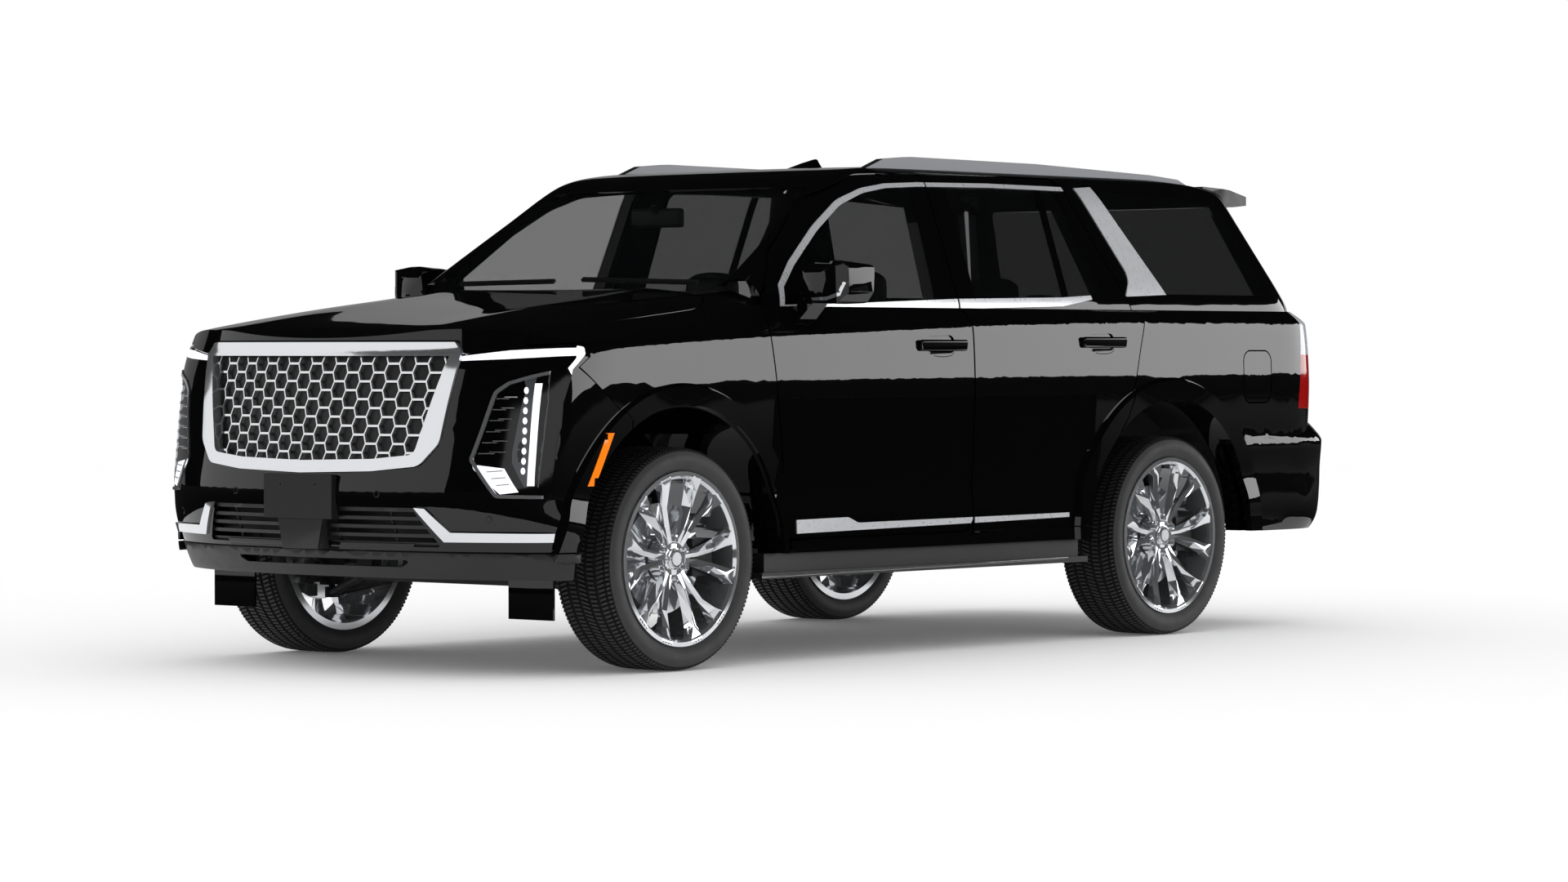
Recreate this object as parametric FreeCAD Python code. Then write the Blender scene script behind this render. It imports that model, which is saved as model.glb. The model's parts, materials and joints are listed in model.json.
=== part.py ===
# A full-size three-row sport utility vehicle, in millimetres.
# The vehicle faces -Y, its left side is +X, and it stands on the ground at Z = 0.
import FreeCAD
import Part

import math
import os

Vec = FreeCAD.Vector

# Overall sizes, with heights from the ground
WHEELBASE = 3071.0
FRONT_OVERHANG = 985.0
REAR_OVERHANG = 1326.0
BODY_WIDTH = 2006.0
TRACK = 1740.0
BELT_HEIGHT = 1345.0
ROOF_HEIGHT = 1914.0

# Wheels and brakes
TYRE_RADIUS = 412.0
TYRE_WIDTH = 285.0
RIM_RADIUS = 318.0
BARREL_RADIUS = 296.0
BARREL_WALL = 9.0
HUB_OFFSET = 45.0
HUB_RADIUS = 88.0
SPOKE_COUNT = 12
SPINDLE_RADIUS = 32.0
PIN_FIT = 0.1
DISC_RADIUS = 205.0
DISC_WIDTH = 30.0
KINGPIN_X = 815.0
KINGPIN_RADIUS = 13.0
STUD_CIRCLE = 69.85

# Panels
SKIN = 12.0
DOOR_SKIN = 14.0
HOOD_THICKNESS = 24.0
GAP = 6.0
SEAL_DEPTH = 12.0
TRIM_PLANE = 118.0
PILLAR_GAP = 9.0
GLASS = 6.0
FLARE_RISE = 22.0
ARCH_RADIUS = 566.0
FLARE_RADIUS = 640.0
FLARE_BEVEL = 22.0
SILL_BOTTOM = 415.0
DOOR_BOTTOM = 470.0
AIR_DAM_BOTTOM = 352.0
AIR_DAM_TOP = 452.0
FLOOR_BOTTOM = 500.0
FLOOR_TOP = 520.0
ROOF_SEAM = 600.0
LINER_X = 520.0
LINER = 8.0

LENGTH = FRONT_OVERHANG + WHEELBASE + REAR_OVERHANG
FRONT_AXLE = FRONT_OVERHANG - LENGTH / 2
REAR_AXLE = FRONT_AXLE + WHEELBASE
HALF = BODY_WIDTH / 2
WHEEL_X = TRACK / 2
HUB_Z = TYRE_RADIUS
FAR = 3600.0


def front(y):
    return FRONT_AXLE + y


def rear(y):
    return REAR_AXLE + y


# Solids from outlines

def corner_arc(before, corner, after, radius):
    # The tangent points and the middle of the arc that rounds one corner.
    a = (before - corner).normalize()
    b = (after - corner).normalize()
    half = math.acos(max(-1.0, min(1.0, a.dot(b)))) / 2
    reach = radius / math.tan(half)
    to_centre = (a + b).normalize()
    middle = corner + to_centre * (radius / math.sin(half) - radius)
    return corner + a * reach, middle, corner + b * reach


def outline(points, place):
    # A closed wire of straight runs, its corners rounded where a point has a radius.
    spots = [place(p[0], p[1]) for p in points]
    radii = [p[2] if len(p) > 2 else 0.0 for p in points]
    count = len(spots)
    arcs = []
    for i in range(count):
        before = spots[i - 1]
        after = spots[(i + 1) % count]
        if radii[i]:
            arcs.append(corner_arc(before, spots[i], after, radii[i]))
        else:
            arcs.append((spots[i], None, spots[i]))
    edges = []
    for i in range(count):
        start, middle, end = arcs[i]
        if middle is not None:
            edges.append(Part.Arc(start, middle, end).toShape())
        following = arcs[(i + 1) % count][0]
        if (following - end).Length > 0.01:
            edges.append(Part.LineSegment(end, following).toShape())
    return Part.Wire(edges)


def side_prism(points, x_low, x_high, grow=0.0):
    # A profile seen from the side, given as (y, z), carried across the vehicle.
    wire = outline(points, lambda y, z: Vec(x_low, y, z))
    if grow:
        wire = wire.makeOffset2D(grow)
    return Part.Face(wire).extrude(Vec(x_high - x_low, 0, 0))


def front_prism(points, y_low, y_high, grow=0.0):
    # A profile seen from the front, given as (x, z), carried along the vehicle.
    wire = outline(points, lambda x, z: Vec(x, y_low, z))
    if grow:
        wire = wire.makeOffset2D(grow)
    return Part.Face(wire).extrude(Vec(0, y_high - y_low, 0))


def plan_prism(points, z_low, z_high, grow=0.0):
    # A profile seen from above, given as (x, y), carried upwards.
    wire = outline(points, lambda x, y: Vec(x, y, z_low))
    if grow:
        wire = wire.makeOffset2D(grow)
    return Part.Face(wire).extrude(Vec(0, 0, z_high - z_low))


def block(x_low, x_high, y_low, y_high, z_low, z_high):
    return Part.makeBox(x_high - x_low, y_high - y_low, z_high - z_low, Vec(x_low, y_low, z_low))


def across(radius, x_low, x_high, y, z):
    # A cylinder whose axis runs across the vehicle.
    return Part.makeCylinder(radius, x_high - x_low, Vec(x_low, y, z), Vec(1, 0, 0))


def upright(radius, z_low, z_high, x, y):
    return Part.makeCylinder(radius, z_high - z_low, Vec(x, y, z_low), Vec(0, 0, 1))


def bar(start, end, radius):
    return Part.makeCylinder(radius, (end - start).Length, start, end - start)


def mirrored(shape):
    return shape.mirror(Vec(0, 0, 0), Vec(1, 0, 0))


def both(points):
    # Both halves of an outline that is the same left and right.
    return points + [(-p[0],) + tuple(p[1:]) for p in reversed(points)]


def largest(shape):
    return max(shape.Solids, key=lambda s: s.Volume)


def fused(pieces):
    result = pieces[0]
    if len(pieces) > 1:
        result = result.multiFuse(pieces[1:])
    return result.removeSplitter()


# Body surfaces: closed rings of poles, one ring to a height, seen from above

def ring_solid(rows):
    rings = [row + [Vec(-p.x, p.y, p.z) for p in reversed(row)] for row in rows]
    around = len(rings[0])
    up = len(rings)
    poles = [[ring[i] for ring in rings] for i in range(around)]
    surface = Part.BSplineSurface()
    surface.buildFromPolesMultsKnots(
        poles, [1] * (around + 1), [3] + [1] * (up - 3) + [3],
        [float(i) for i in range(around + 1)], [float(i) for i in range(up - 1)],
        True, False, 3, 2)
    side = surface.toShape()
    rims = [e for e in side.Edges if e.BoundBox.ZLength < 0.01]
    caps = [Part.Face(Part.Wire([e])) for e in rims]
    skin = Part.makeCompound([side] + caps)
    skin.sewShape()
    return Part.Solid(skin.Shells[0])


# Height of the shoulder crease at each pole, from the nose to the tail
CREASE = [1178, 1178, 1180, 1183, 1188, 1215, 1246, 1268, 1290, 1299, 1301, 1296, 1294, 1292, 1290, 1290]

# Height, inset from the widest point, nose before the front axle, tail behind the rear axle.
# A height under 100 counts from the shoulder crease.
LOWER_BODY = [
    (230, 60, -740, 1100),
    (330, 8, -850, 1180),
    (400, 2, -885, 1190),
    (480, 8, -925, 1200),
    (560, 4, -952, 1205),
    (640, 20, -972, 1210),
    (700, 13, -970, 1212),
    (820, 5, -950, 1222),
    (960, 0, -932, 1226),
    (1080, -2, -911, 1226),
    (-14, 8, -890, 1215),
    (14, 22, -882, 1213),
    (BELT_HEIGHT, 72, -858, 1178),
]
HOOD_ROW = (1450, 110, -828, 1130)


def lower_body(inset=0.0, drop=0.0, rows=LOWER_BODY):
    rings = []
    for index, (height, narrow, nose, tail) in enumerate(rows):
        w = HALF - narrow - inset
        n = front(nose + inset)
        t = rear(tail - inset)
        plan = [
            (150, n), (420, n + 30), (650, n + 80), (880 - narrow - inset, n + 180), (w + 12, n + 290),
            (w, n + 600), (w, front(350)), (w, front(1100)), (w, front(1900)), (w, rear(-450)),
            (w, rear(300)), (w, t - 400), (w, t - 220), (w * 0.94, t - 75), (w * 0.6, t - 5), (w * 0.2, t)]
        ring = []
        for (x, y), crease in zip(plan, CREASE):
            z = crease + height if abs(height) < 100 else height
            ring.append(Vec(x, y, z - drop if index == 0 else z))
        rings.append(ring)
    return ring_solid(rings)


# Height, half width, windscreen centre behind the front axle, back behind the rear axle, roof share
GREENHOUSE = [
    (BELT_HEIGHT - 60, 927, 240, 1174, 0.0),
    (BELT_HEIGHT, 927, 326, 1174, 0.0),
    (1417, 905, 440, 1140, 0.0),
    (1550, 856, 650, 1062, 0.0),
    (1700, 802, 886, 975, 0.0),
    (1800, 767, 1044, 915, 0.0),
    (1850, 741, 1130, 895, 0.5),
    (1880, 712, 1235, 760, 1.0),
    (1900, 668, 1400, 540, 1.0),
    (1910, 590, 1640, 280, 1.0),
    (ROOF_HEIGHT, 480, 1900, -20, 1.0),
]
SIDE_SLOPE = 1.06
SCREEN_SLOPE = 1.87
BACK_SLOPE = 1.15


def greenhouse(inset=0.0, drop=0.0):
    rings = []
    for index, (height, width, screen, back, share) in enumerate(GREENHOUSE):
        w = width - inset * SIDE_SLOPE
        n = front(screen + inset * SCREEN_SLOPE)
        t = rear(back - inset * BACK_SLOPE)
        pillar = w - 125 + 0.11 * (height - BELT_HEIGHT)
        plan = [
            (150, n), (420, n + 12), (pillar, n + 50), ((pillar + w) / 2 + 25, n + 80), (w, n + 240),
            (w, n + 480), (w, (n + t) / 2), (w, t - 700), (w, t - 400), (w, t - 215),
            (w * 0.94, t - 75), (w * 0.6, t - 5), (w * 0.2, t)]
        z = height - inset * share
        if index == 0:
            z -= drop
        rings.append([Vec(x, y, z) for x, y in plan])
    return ring_solid(rings)


def whole_body(inset=0.0):
    lower = lower_body(inset)
    upper = greenhouse(inset)
    return lower.fuse(upper)


# Hood: height of the top surface over a grid of poles
HOOD_X = [0, 300, 480, 530, 700, 800, 900, 1040]
HOOD_DROP = [8, 6, 0, -2, 8, 22, 46, 120]
HOOD_REAR_DROP = [4, 3, 0, 2, 16, 32, 66, 150]
HOOD_Y = [-1060, -900, -800, -700, -450, -150, 150, 420, 700]
HOOD_Z = [1150, 1222, 1258, 1278, 1315, 1355, 1388, 1422, 1440]


def above_hood(offset=0.0):
    rows = []
    for y, z in zip(HOOD_Y, HOOD_Z):
        blend = max(0.0, min(1.0, (y + 900) / 1300))
        half = []
        for x, near, far in zip(HOOD_X, HOOD_DROP, HOOD_REAR_DROP):
            half.append(Vec(x, front(y), z - offset - near * (1 - blend) - far * blend))
        rows.append([Vec(-p.x, p.y, p.z) for p in reversed(half[1:])] + half)
    across_count = len(rows[0])
    along = len(rows)
    poles = [[row[i] for row in rows] for i in range(across_count)]
    surface = Part.BSplineSurface()
    surface.buildFromPolesMultsKnots(
        poles, [3] + [1] * (across_count - 3) + [3], [3] + [1] * (along - 3) + [3],
        [float(i) for i in range(across_count - 1)], [float(i) for i in range(along - 1)],
        False, False, 2, 2)
    return surface.toShape().extrude(Vec(0, 0, 900))


# Side outlines of the openings, as (y, z) with an optional corner radius

FRONT_DOOR_EDGE = 1745.0
DOOR_TOP = 1878.0

FRONT_DOOR = [
    (front(612), DOOR_BOTTOM, 30), (front(594), 708), (front(539), 1075), (front(517), 1243, 120),
    (front(556), 1370, 120), (front(724), 1545), (front(1063), 1773, 400), (front(1330), 1862, 300),
    (front(FRONT_DOOR_EDGE), DOOR_TOP), (front(FRONT_DOOR_EDGE), DOOR_BOTTOM, 70)]
REAR_DOOR = [
    (front(FRONT_DOOR_EDGE + PILLAR_GAP), DOOR_BOTTOM), (front(FRONT_DOOR_EDGE + PILLAR_GAP), DOOR_TOP),
    (rear(-425), DOOR_TOP + 2, 40), (rear(-385), 1764), (rear(-190), 1395, 50), (rear(-160), 1320, 30),
    (rear(-205), 1200, 100), (rear(-253), 1037, 100), (rear(-327), 901, 100), (rear(-429), 775, 100),
    (rear(-461), 615, 60), (rear(-529), DOOR_BOTTOM, 20)]
FRONT_WINDOW = [
    (front(668), 1350, 14), (front(686), 1412, 60), (front(985), 1642), (front(1165), 1745, 300),
    (front(1330), 1800, 300), (front(1648), 1826, 10), (front(1602), 1366, 8)]
REAR_WINDOW = [
    (front(1867), 1368, 8), (front(1871), 1831, 8), (rear(-486), 1836, 8), (rear(-346), 1392, 8),
    (rear(-440), 1378, 60)]
QUARTER_WINDOW = [
    (rear(-190), 1838, 10), (rear(680), 1800, 14), (rear(866), 1412, 12), (rear(100), 1412, 10)]
FUEL_DOOR = [
    (rear(533), 1174, 45), (rear(732), 1174, 45), (rear(732), 960, 45), (rear(533), 960, 45)]

# Front outlines, as (x, z)
GRILLE_TOP = 1168.0
GRILLE_OPENING = both([(0, 733), (340, 742, 200), (540, 762, 60), (613, 845, 60), (656, GRILLE_TOP)])
BAR_TOP = 1208.0
CHROME_BAR = both([(656, GRILLE_TOP), (622, BAR_TOP)])
GRILLE_FIELD = both([(0, 778), (335, 786, 150), (515, 803, 35), (612, GRILLE_TOP - 10)])
LOWER_GRILLE = both([(508, 612, 12), (596, 470, 8)])
LAMP_POD = [
    (1060, 1118), (985, 1116), (908, 1092, 30), (834, 1067, 30), (790, 1032, 30), (758, 903),
    (725, 785, 25), (822, 649, 20), (960, 646), (1060, 646)]
DAY_LAMP = [
    (653, 1140), (653, 1157), (821, 1178), (924, 1184), (1060, 1192), (1060, 1165), (931, 1154), (822, 1147)]
DAY_LAMP_LEG = [
    (front(-548), 1196, 8), (front(-516), 1190, 8), (front(-516), 1164, 10), (front(-590), 1100),
    (front(-590), 1060), (front(-640), 1060), (front(-600), 1112), (front(-560), 1150)]
AIR_SLOT = both([(455, 420, 6), (400, 394, 6)])
HOOD_SEAM = both([
    (0, front(385)), (400, front(376), 300), (800, front(348), 30), (888, front(240), 200), (890, front(-100), 400),
    (884, front(-400), 400), (864, front(-670), 100), (846, front(-730), 20), (838, front(-1100))])[1:-1]
HOOD_FRONT = both([(0, 1214), (636, 1214, 14), (662, 1165, 8), (821, 1185), (1000, 1192), (1000, 1700)])
TAILGATE = both([
    (790, 884, 30), (812, 1010, 200), (806, BELT_HEIGHT, 300), (655, 1810, 60), (646, 1880), (646, 1960)])
REAR_WINDOW_OUTLINE = both([(722, 1362, 40), (600, 1800, 40)])
WINDSCREEN = both([(770, 1402, 60), (690, 1812, 60)])


# Side outlines of the cabin's inside and of the seams ahead of the doors
SCREEN_RISE = 1 / 1.577
BAY_BACK = front(470)
CABIN_SIDE = [
    (BAY_BACK, FLOOR_TOP), (BAY_BACK, 1385), (front(620), 1482), (front(1060), 1762, 200),
    (front(1330), 1862, 400), (front(2000), 1874, 900), (rear(560), 1858, 400), (rear(820), 1800),
    (rear(1070), BELT_HEIGHT, 200), (rear(1108), 880), (rear(1108), 600), (rear(980), FLOOR_TOP)]
CABIN_SECTION = both([
    (HALF - TRIM_PLANE, FLOOR_TOP), (HALF - TRIM_PLANE, BELT_HEIGHT - 60), (866, BELT_HEIGHT + 10),
    (708, 1806, 60), (620, 1876, 60)])
BUMPER_SEAM = [
    (front(-1100), AIR_DAM_TOP + GAP / 2), (front(-300), AIR_DAM_TOP + GAP / 2), (front(-300), 930),
    (front(-556), 1116), (front(-500), 1156), (front(-500), 1196), (front(-556), 1203), (front(-700), 1187),
    (front(-870), 1181), (front(-870), 1300), (front(-1100), 1300)]
FENDER = [
    (front(-294), 925), (front(-550), 1120), (front(-494), 1154), (front(-494), 1202), (front(-600), 1204),
    (front(-900), 1186), (front(-900), 1600), (front(480), 1600), (front(552), 1376, 120),
    (front(510), 1243, 120), (front(532), 1075), (front(587), 708), (front(592), 640),
    (front(592), SILL_BOTTOM), (front(-294), SILL_BOTTOM)]


def arch(radius, y, x_low, x_high):
    return across(radius, x_low, x_high, y, HUB_Z)


def flare(y, radius, skin_out, skin_in):
    # The raised lip around one wheel opening, bevelled at its outer edge.
    cone = Part.makeCone(radius + FLARE_BEVEL, radius - 8, 60, Vec(HALF - 30, y, HUB_Z), Vec(1, 0, 0))
    lip = cone.common(skin_out).cut(skin_in)
    return lip.cut(arch(ARCH_RADIUS, y, 500, 1200))


# Panels of the nose

def air_flap():
    # The flap ahead of a front wheel, hung from the liner.
    return block(660, 880, front(-566), front(-556), 204, SILL_BOTTOM + 45)


def nose_panels():
    rows = LOWER_BODY + [HOOD_ROW]
    keep = block(-FAR, FAR, -FAR, front(700), 200, 1700)
    outside = lower_body(rows=rows).cut(above_hood()).common(keep)
    inside = lower_body(SKIN, 100, rows).cut(above_hood(HOOD_THICKNESS))
    shell = outside.cut(inside)
    hood_cut = plan_prism(HOOD_SEAM, 1100, 1700, GAP).common(front_prism(HOOD_FRONT, -FAR, 0, GAP))
    hood = shell.common(plan_prism(HOOD_SEAM, 1100, 1700).common(front_prism(HOOD_FRONT, -FAR, 0)))
    rest = shell.cut(hood_cut)

    arches = arch(ARCH_RADIUS, FRONT_AXLE, -1200, 1200)
    nose = rest.cut(arches)
    raised = lower_body(-FLARE_RISE)
    lip = flare(FRONT_AXLE, FLARE_RADIUS, raised, lower_body(SKIN))
    lips = lip.fuse(mirrored(lip)).common(block(-FAR, FAR, -FAR, FAR, SILL_BOTTOM, 1700))
    nose = nose.fuse(lips)

    bumper = nose.common(side_prism(BUMPER_SEAM, -FAR, FAR))
    bumper = bumper.cut(front_prism(GRILLE_OPENING, -FAR, front(-600)))
    bumper = bumper.cut(block(-656, 656, -FAR, front(-600), GRILLE_TOP - 2, 1300))
    bumper = bumper.cut(front_prism(LOWER_GRILLE, -FAR, front(-600)))
    left_lamp = lamp_prism()
    bumper = bumper.cut(left_lamp).cut(mirrored(left_lamp))
    dam = nose.common(block(-FAR, FAR, -FAR, front(-300), AIR_DAM_BOTTOM, AIR_DAM_TOP - GAP / 2))
    dam = dam.cut(front_prism(AIR_SLOT, -FAR, front(-600)))
    left_fender = nose.common(side_prism(FENDER, 600, FAR)).cut(left_lamp)
    left_fender = left_fender.cut(side_prism(BUMPER_SEAM, 600, FAR, GAP / 2))
    left_fender = left_fender.cut(block(0, COWL_SIDE, front(300), FAR, 1300, 1500))
    left_fender = largest(left_fender)
    liner = arch(ARCH_RADIUS, FRONT_AXLE, LINER_X, HALF).cut(arch(ARCH_RADIUS - LINER, FRONT_AXLE, 0, FAR))
    liner = liner.common(block(0, FAR, -FAR, FAR, SILL_BOTTOM + 15, 1300))
    liner = liner.common(lower_body(1.0))
    tab = inside.common(block(900, FAR, front(492), front(532), 640, 960)).cut(whole_body(DOOR_SKIN + SEAL_DEPTH))
    left_fender = left_fender.multiFuse([liner, tab, air_flap()])
    flange = inside.cut(lower_body(SKIN + 6)).common(
        block(-FAR, FAR, -FAR, front(-600), AIR_DAM_TOP - 22, AIR_DAM_TOP + 7.5))
    dam = dam.fuse(flange)
    absorber = inside.common(block(-450, 450, -FAR, front(-820), 645, 700))
    return hood, largest(bumper), dam, left_fender, absorber


def lamp_prism():
    pod_edge = [
        (front(-1100), 600), (front(-674), 600), (front(-672), 664), (front(-648), 863), (front(-631), 903),
        (front(-622), 992), (front(-585), 1090), (front(-560), 1160), (front(-1100), 1160)]
    strip_edge = [(front(-1100), 1100), (front(-520), 1100), (front(-520), 1210), (front(-1100), 1210)]
    pod = front_prism(LAMP_POD, -FAR, front(-300)).common(side_prism(pod_edge, 600, 1100))
    strip = front_prism(DAY_LAMP, -FAR, front(-300)).common(side_prism(strip_edge, 600, 1100))
    leg = side_prism(DAY_LAMP_LEG, 930, 1100)
    return pod.multiFuse([strip, leg])


def headlamp():
    outer = lower_body(1.0)
    inner = lower_body(34.0)
    lamp = lamp_prism().common(outer).cut(inner)
    return lamp.cut(front_prism(GRILLE_OPENING, -FAR, 0, 0.7))


def grille():
    proud = lower_body(-9.0)
    deep = lower_body(34.0)
    frame = front_prism(GRILLE_OPENING, -FAR, front(-600)).cut(front_prism(GRILLE_FIELD, -FAR, 0))
    frame = frame.common(proud).cut(deep)
    top_bar = front_prism(CHROME_BAR, -FAR, front(-600)).common(lower_body(-6.0)).cut(deep)
    return frame.fuse(top_bar)


def skin_at(shell, x, z):
    # Where a line that runs rearwards first meets the skin.
    met = shell.common(Part.makeLine(Vec(x, front(-1200), z), Vec(x, front(-400), z)))
    return met.BoundBox.YMin


MESH_ROWS = 12
MESH_COLUMNS = 11
MESH_WIRE = 8.0
MESH_FLAT = 0.38
MESH_DEPTH = 12.0
MESH_THICKNESS = 9.0


def grille_mesh():
    # Rows of long six-sided cells, each row half a cell along from the next, cut through a faceted plate.
    low, high = 776.0, GRILLE_TOP - 6
    shell = lower_body(MESH_DEPTH)
    stations = [0, 160, 330, 480, 600, 662]
    plans = []
    for z in (low - 12, high + 12):
        near = [Vec(x, skin_at(shell, x, min(z, GRILLE_TOP)), z) for x in stations]
        near = [Vec(-p.x, p.y, p.z) for p in reversed(near[1:])] + near
        far = [Vec(p.x, p.y + MESH_THICKNESS, p.z) for p in reversed(near)]
        plans.append(Part.makePolygon(near + far + near[:1]))
    plate = Part.makeLoft(plans, True, True)
    rise = (high - low) / MESH_ROWS
    pitch = 2 * 612 / (MESH_COLUMNS - 1)
    flat = pitch * MESH_FLAT / 2
    point = pitch / 2 - flat
    wire = MESH_WIRE / 2
    cells = []
    for row in range(MESH_ROWS + 1):
        z = low + row * rise
        shift = pitch / 2 if row % 2 else 0.0
        for column in range(-MESH_COLUMNS // 2, MESH_COLUMNS // 2 + 2):
            x = column * pitch + shift
            cell = [
                (x - flat, z - rise + wire), (x + flat, z - rise + wire), (x + point - wire, z),
                (x + flat, z + rise - wire), (x - flat, z + rise - wire), (x - point + wire, z)]
            cells.append(front_prism(cell, front(-1100), front(-700)))
    field = front_prism(GRILLE_FIELD, -FAR, front(-600), -0.3)
    return largest(plate.common(field).cut(Part.makeCompound(cells)))


def shutters():
    # The dark panel behind the mesh, held on the back of the surround.
    layer = lower_body(34.0).cut(lower_body(42.0))
    return layer.common(front_prism(GRILLE_FIELD, -FAR, front(-600), 8.0))


# Panels behind the nose

# Doors swing on upright axes just inside the skin, a little behind their leading edges
FRONT_HINGE_X = 988.0
FRONT_HINGE_Y = front(612)
REAR_HINGE_X = 988.0
REAR_HINGE_Y = front(FRONT_DOOR_EDGE + PILLAR_GAP + 30)
HINGE_HEIGHTS = (880.0, 1110.0)
HINGE_POST = 7.0
HINGE_PIN = 3.0
HINGE_EYE_HALF = 7.0
HINGE_POST_HALF = 40.0
CORNER_REACH = 97.0
FRONT_DOOR_INNER = [
    (front(690), DOOR_BOTTOM + 25, 30), (front(640), 800, 60), (front(636), 1250, 60), (front(655), 1370, 60),
    (front(770), 1532), (front(1080), 1738, 300), (front(1340), 1828, 200), (front(1655), 1846),
    (front(1655), DOOR_BOTTOM + 25, 60)]
REAR_DOOR_INNER = [
    (front(1850), DOOR_BOTTOM + 25, 30), (front(1850), 1850), (rear(-450), 1850, 40), (rear(-415), 1764),
    (rear(-240), 1400, 50), (rear(-250), 1230, 60), (rear(-300), 1037, 60), (rear(-372), 890, 60),
    (rear(-480), 770, 60), (rear(-560), 640, 60), (rear(-600), DOOR_BOTTOM + 25, 20)]
INNER_GAP = 14.0


def cabin_space():
    lengthwise = front_prism(CABIN_SECTION, -FAR, FAR)
    space = lengthwise.common(side_prism(CABIN_SIDE, -1000, 1000))
    corner = block(REAR_PILLAR_X, 1000, rear(940), FAR, 500, 2000)
    return space.cut(corner).cut(mirrored(corner))


def door(panel, inner, window, body, layer, cavity):
    skin = body.common(side_prism(panel, 500, FAR)).cut(layer)
    core = layer.common(side_prism(inner, 500, FAR)).cut(cavity)
    core = core.cut(block(0, HALF - TRIM_PLANE, -FAR, FAR, 300, FLOOR_TOP + 20))
    return skin.fuse(core).cut(side_prism(window, 500, FAR))


def belt_corner(panel):
    # Where the belt meets the leading edge the door is made solid, then kept within the reach that its pocket allows.
    low, high = BELT_HEIGHT - 10, BELT_HEIGHT + 10
    web = block(893, HALF, front(500), front(640), low, high).common(side_prism(FRONT_DOOR, 500, FAR))
    panel = panel.fuse(web.common(whole_body(1.0)))
    ahead = block(700, FRONT_HINGE_X, front(400), FRONT_HINGE_Y, low - 5, high + 65)
    reach = upright(CORNER_REACH, low - 5, high + 65, FRONT_HINGE_X, FRONT_HINGE_Y)
    return largest(panel.cut(ahead.cut(reach)))


def hinge_posts(panel, x, y):
    # Upright posts on the inside of a door, each split by the slot that its hinge eye fills.
    for z in HINGE_HEIGHTS:
        post = upright(HINGE_POST, z - HINGE_POST_HALF, z + HINGE_POST_HALF, x, y)
        rib = block(x - 7, x + 6, y, y + 80, z - HINGE_POST_HALF, z + HINGE_POST_HALF)
        panel = panel.multiFuse([post.fuse(rib).common(whole_body(1.0))])
        slot = block(x - 60, x + 9, y - 90, y + 10, z - HINGE_EYE_HALF - 1, z + HINGE_EYE_HALF + 1)
        hole = upright(HINGE_PIN + PIN_FIT, z - HINGE_POST_HALF - 1, z + HINGE_POST_HALF + 1, x, y)
        panel = panel.cut(slot).cut(hole)
    return panel


def hinge_arms(x, y):
    # What the side frame holds out to each hinge axis: an arm, its eye and the pin.
    arms = []
    for z in HINGE_HEIGHTS:
        eye = upright(HINGE_POST, z - HINGE_EYE_HALF, z + HINGE_EYE_HALF, x, y)
        arm = block(HALF - TRIM_PLANE + 2, x, y - 6, y + 6, z - HINGE_EYE_HALF, z + HINGE_EYE_HALF)
        pin = upright(HINGE_PIN, z - HINGE_POST_HALF + 6, z + HINGE_POST_HALF - 6, x, y)
        arms += [eye.fuse(arm), pin]
    return arms


def hinge_pocket(x, y, reach, x_low, z_low, z_high):
    # The room in a pillar for the leading edge of the door that turns in front of it.
    return upright(reach, z_low, z_high, x, y).common(block(x_low, FAR, -FAR, FAR, z_low, z_high))


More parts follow.
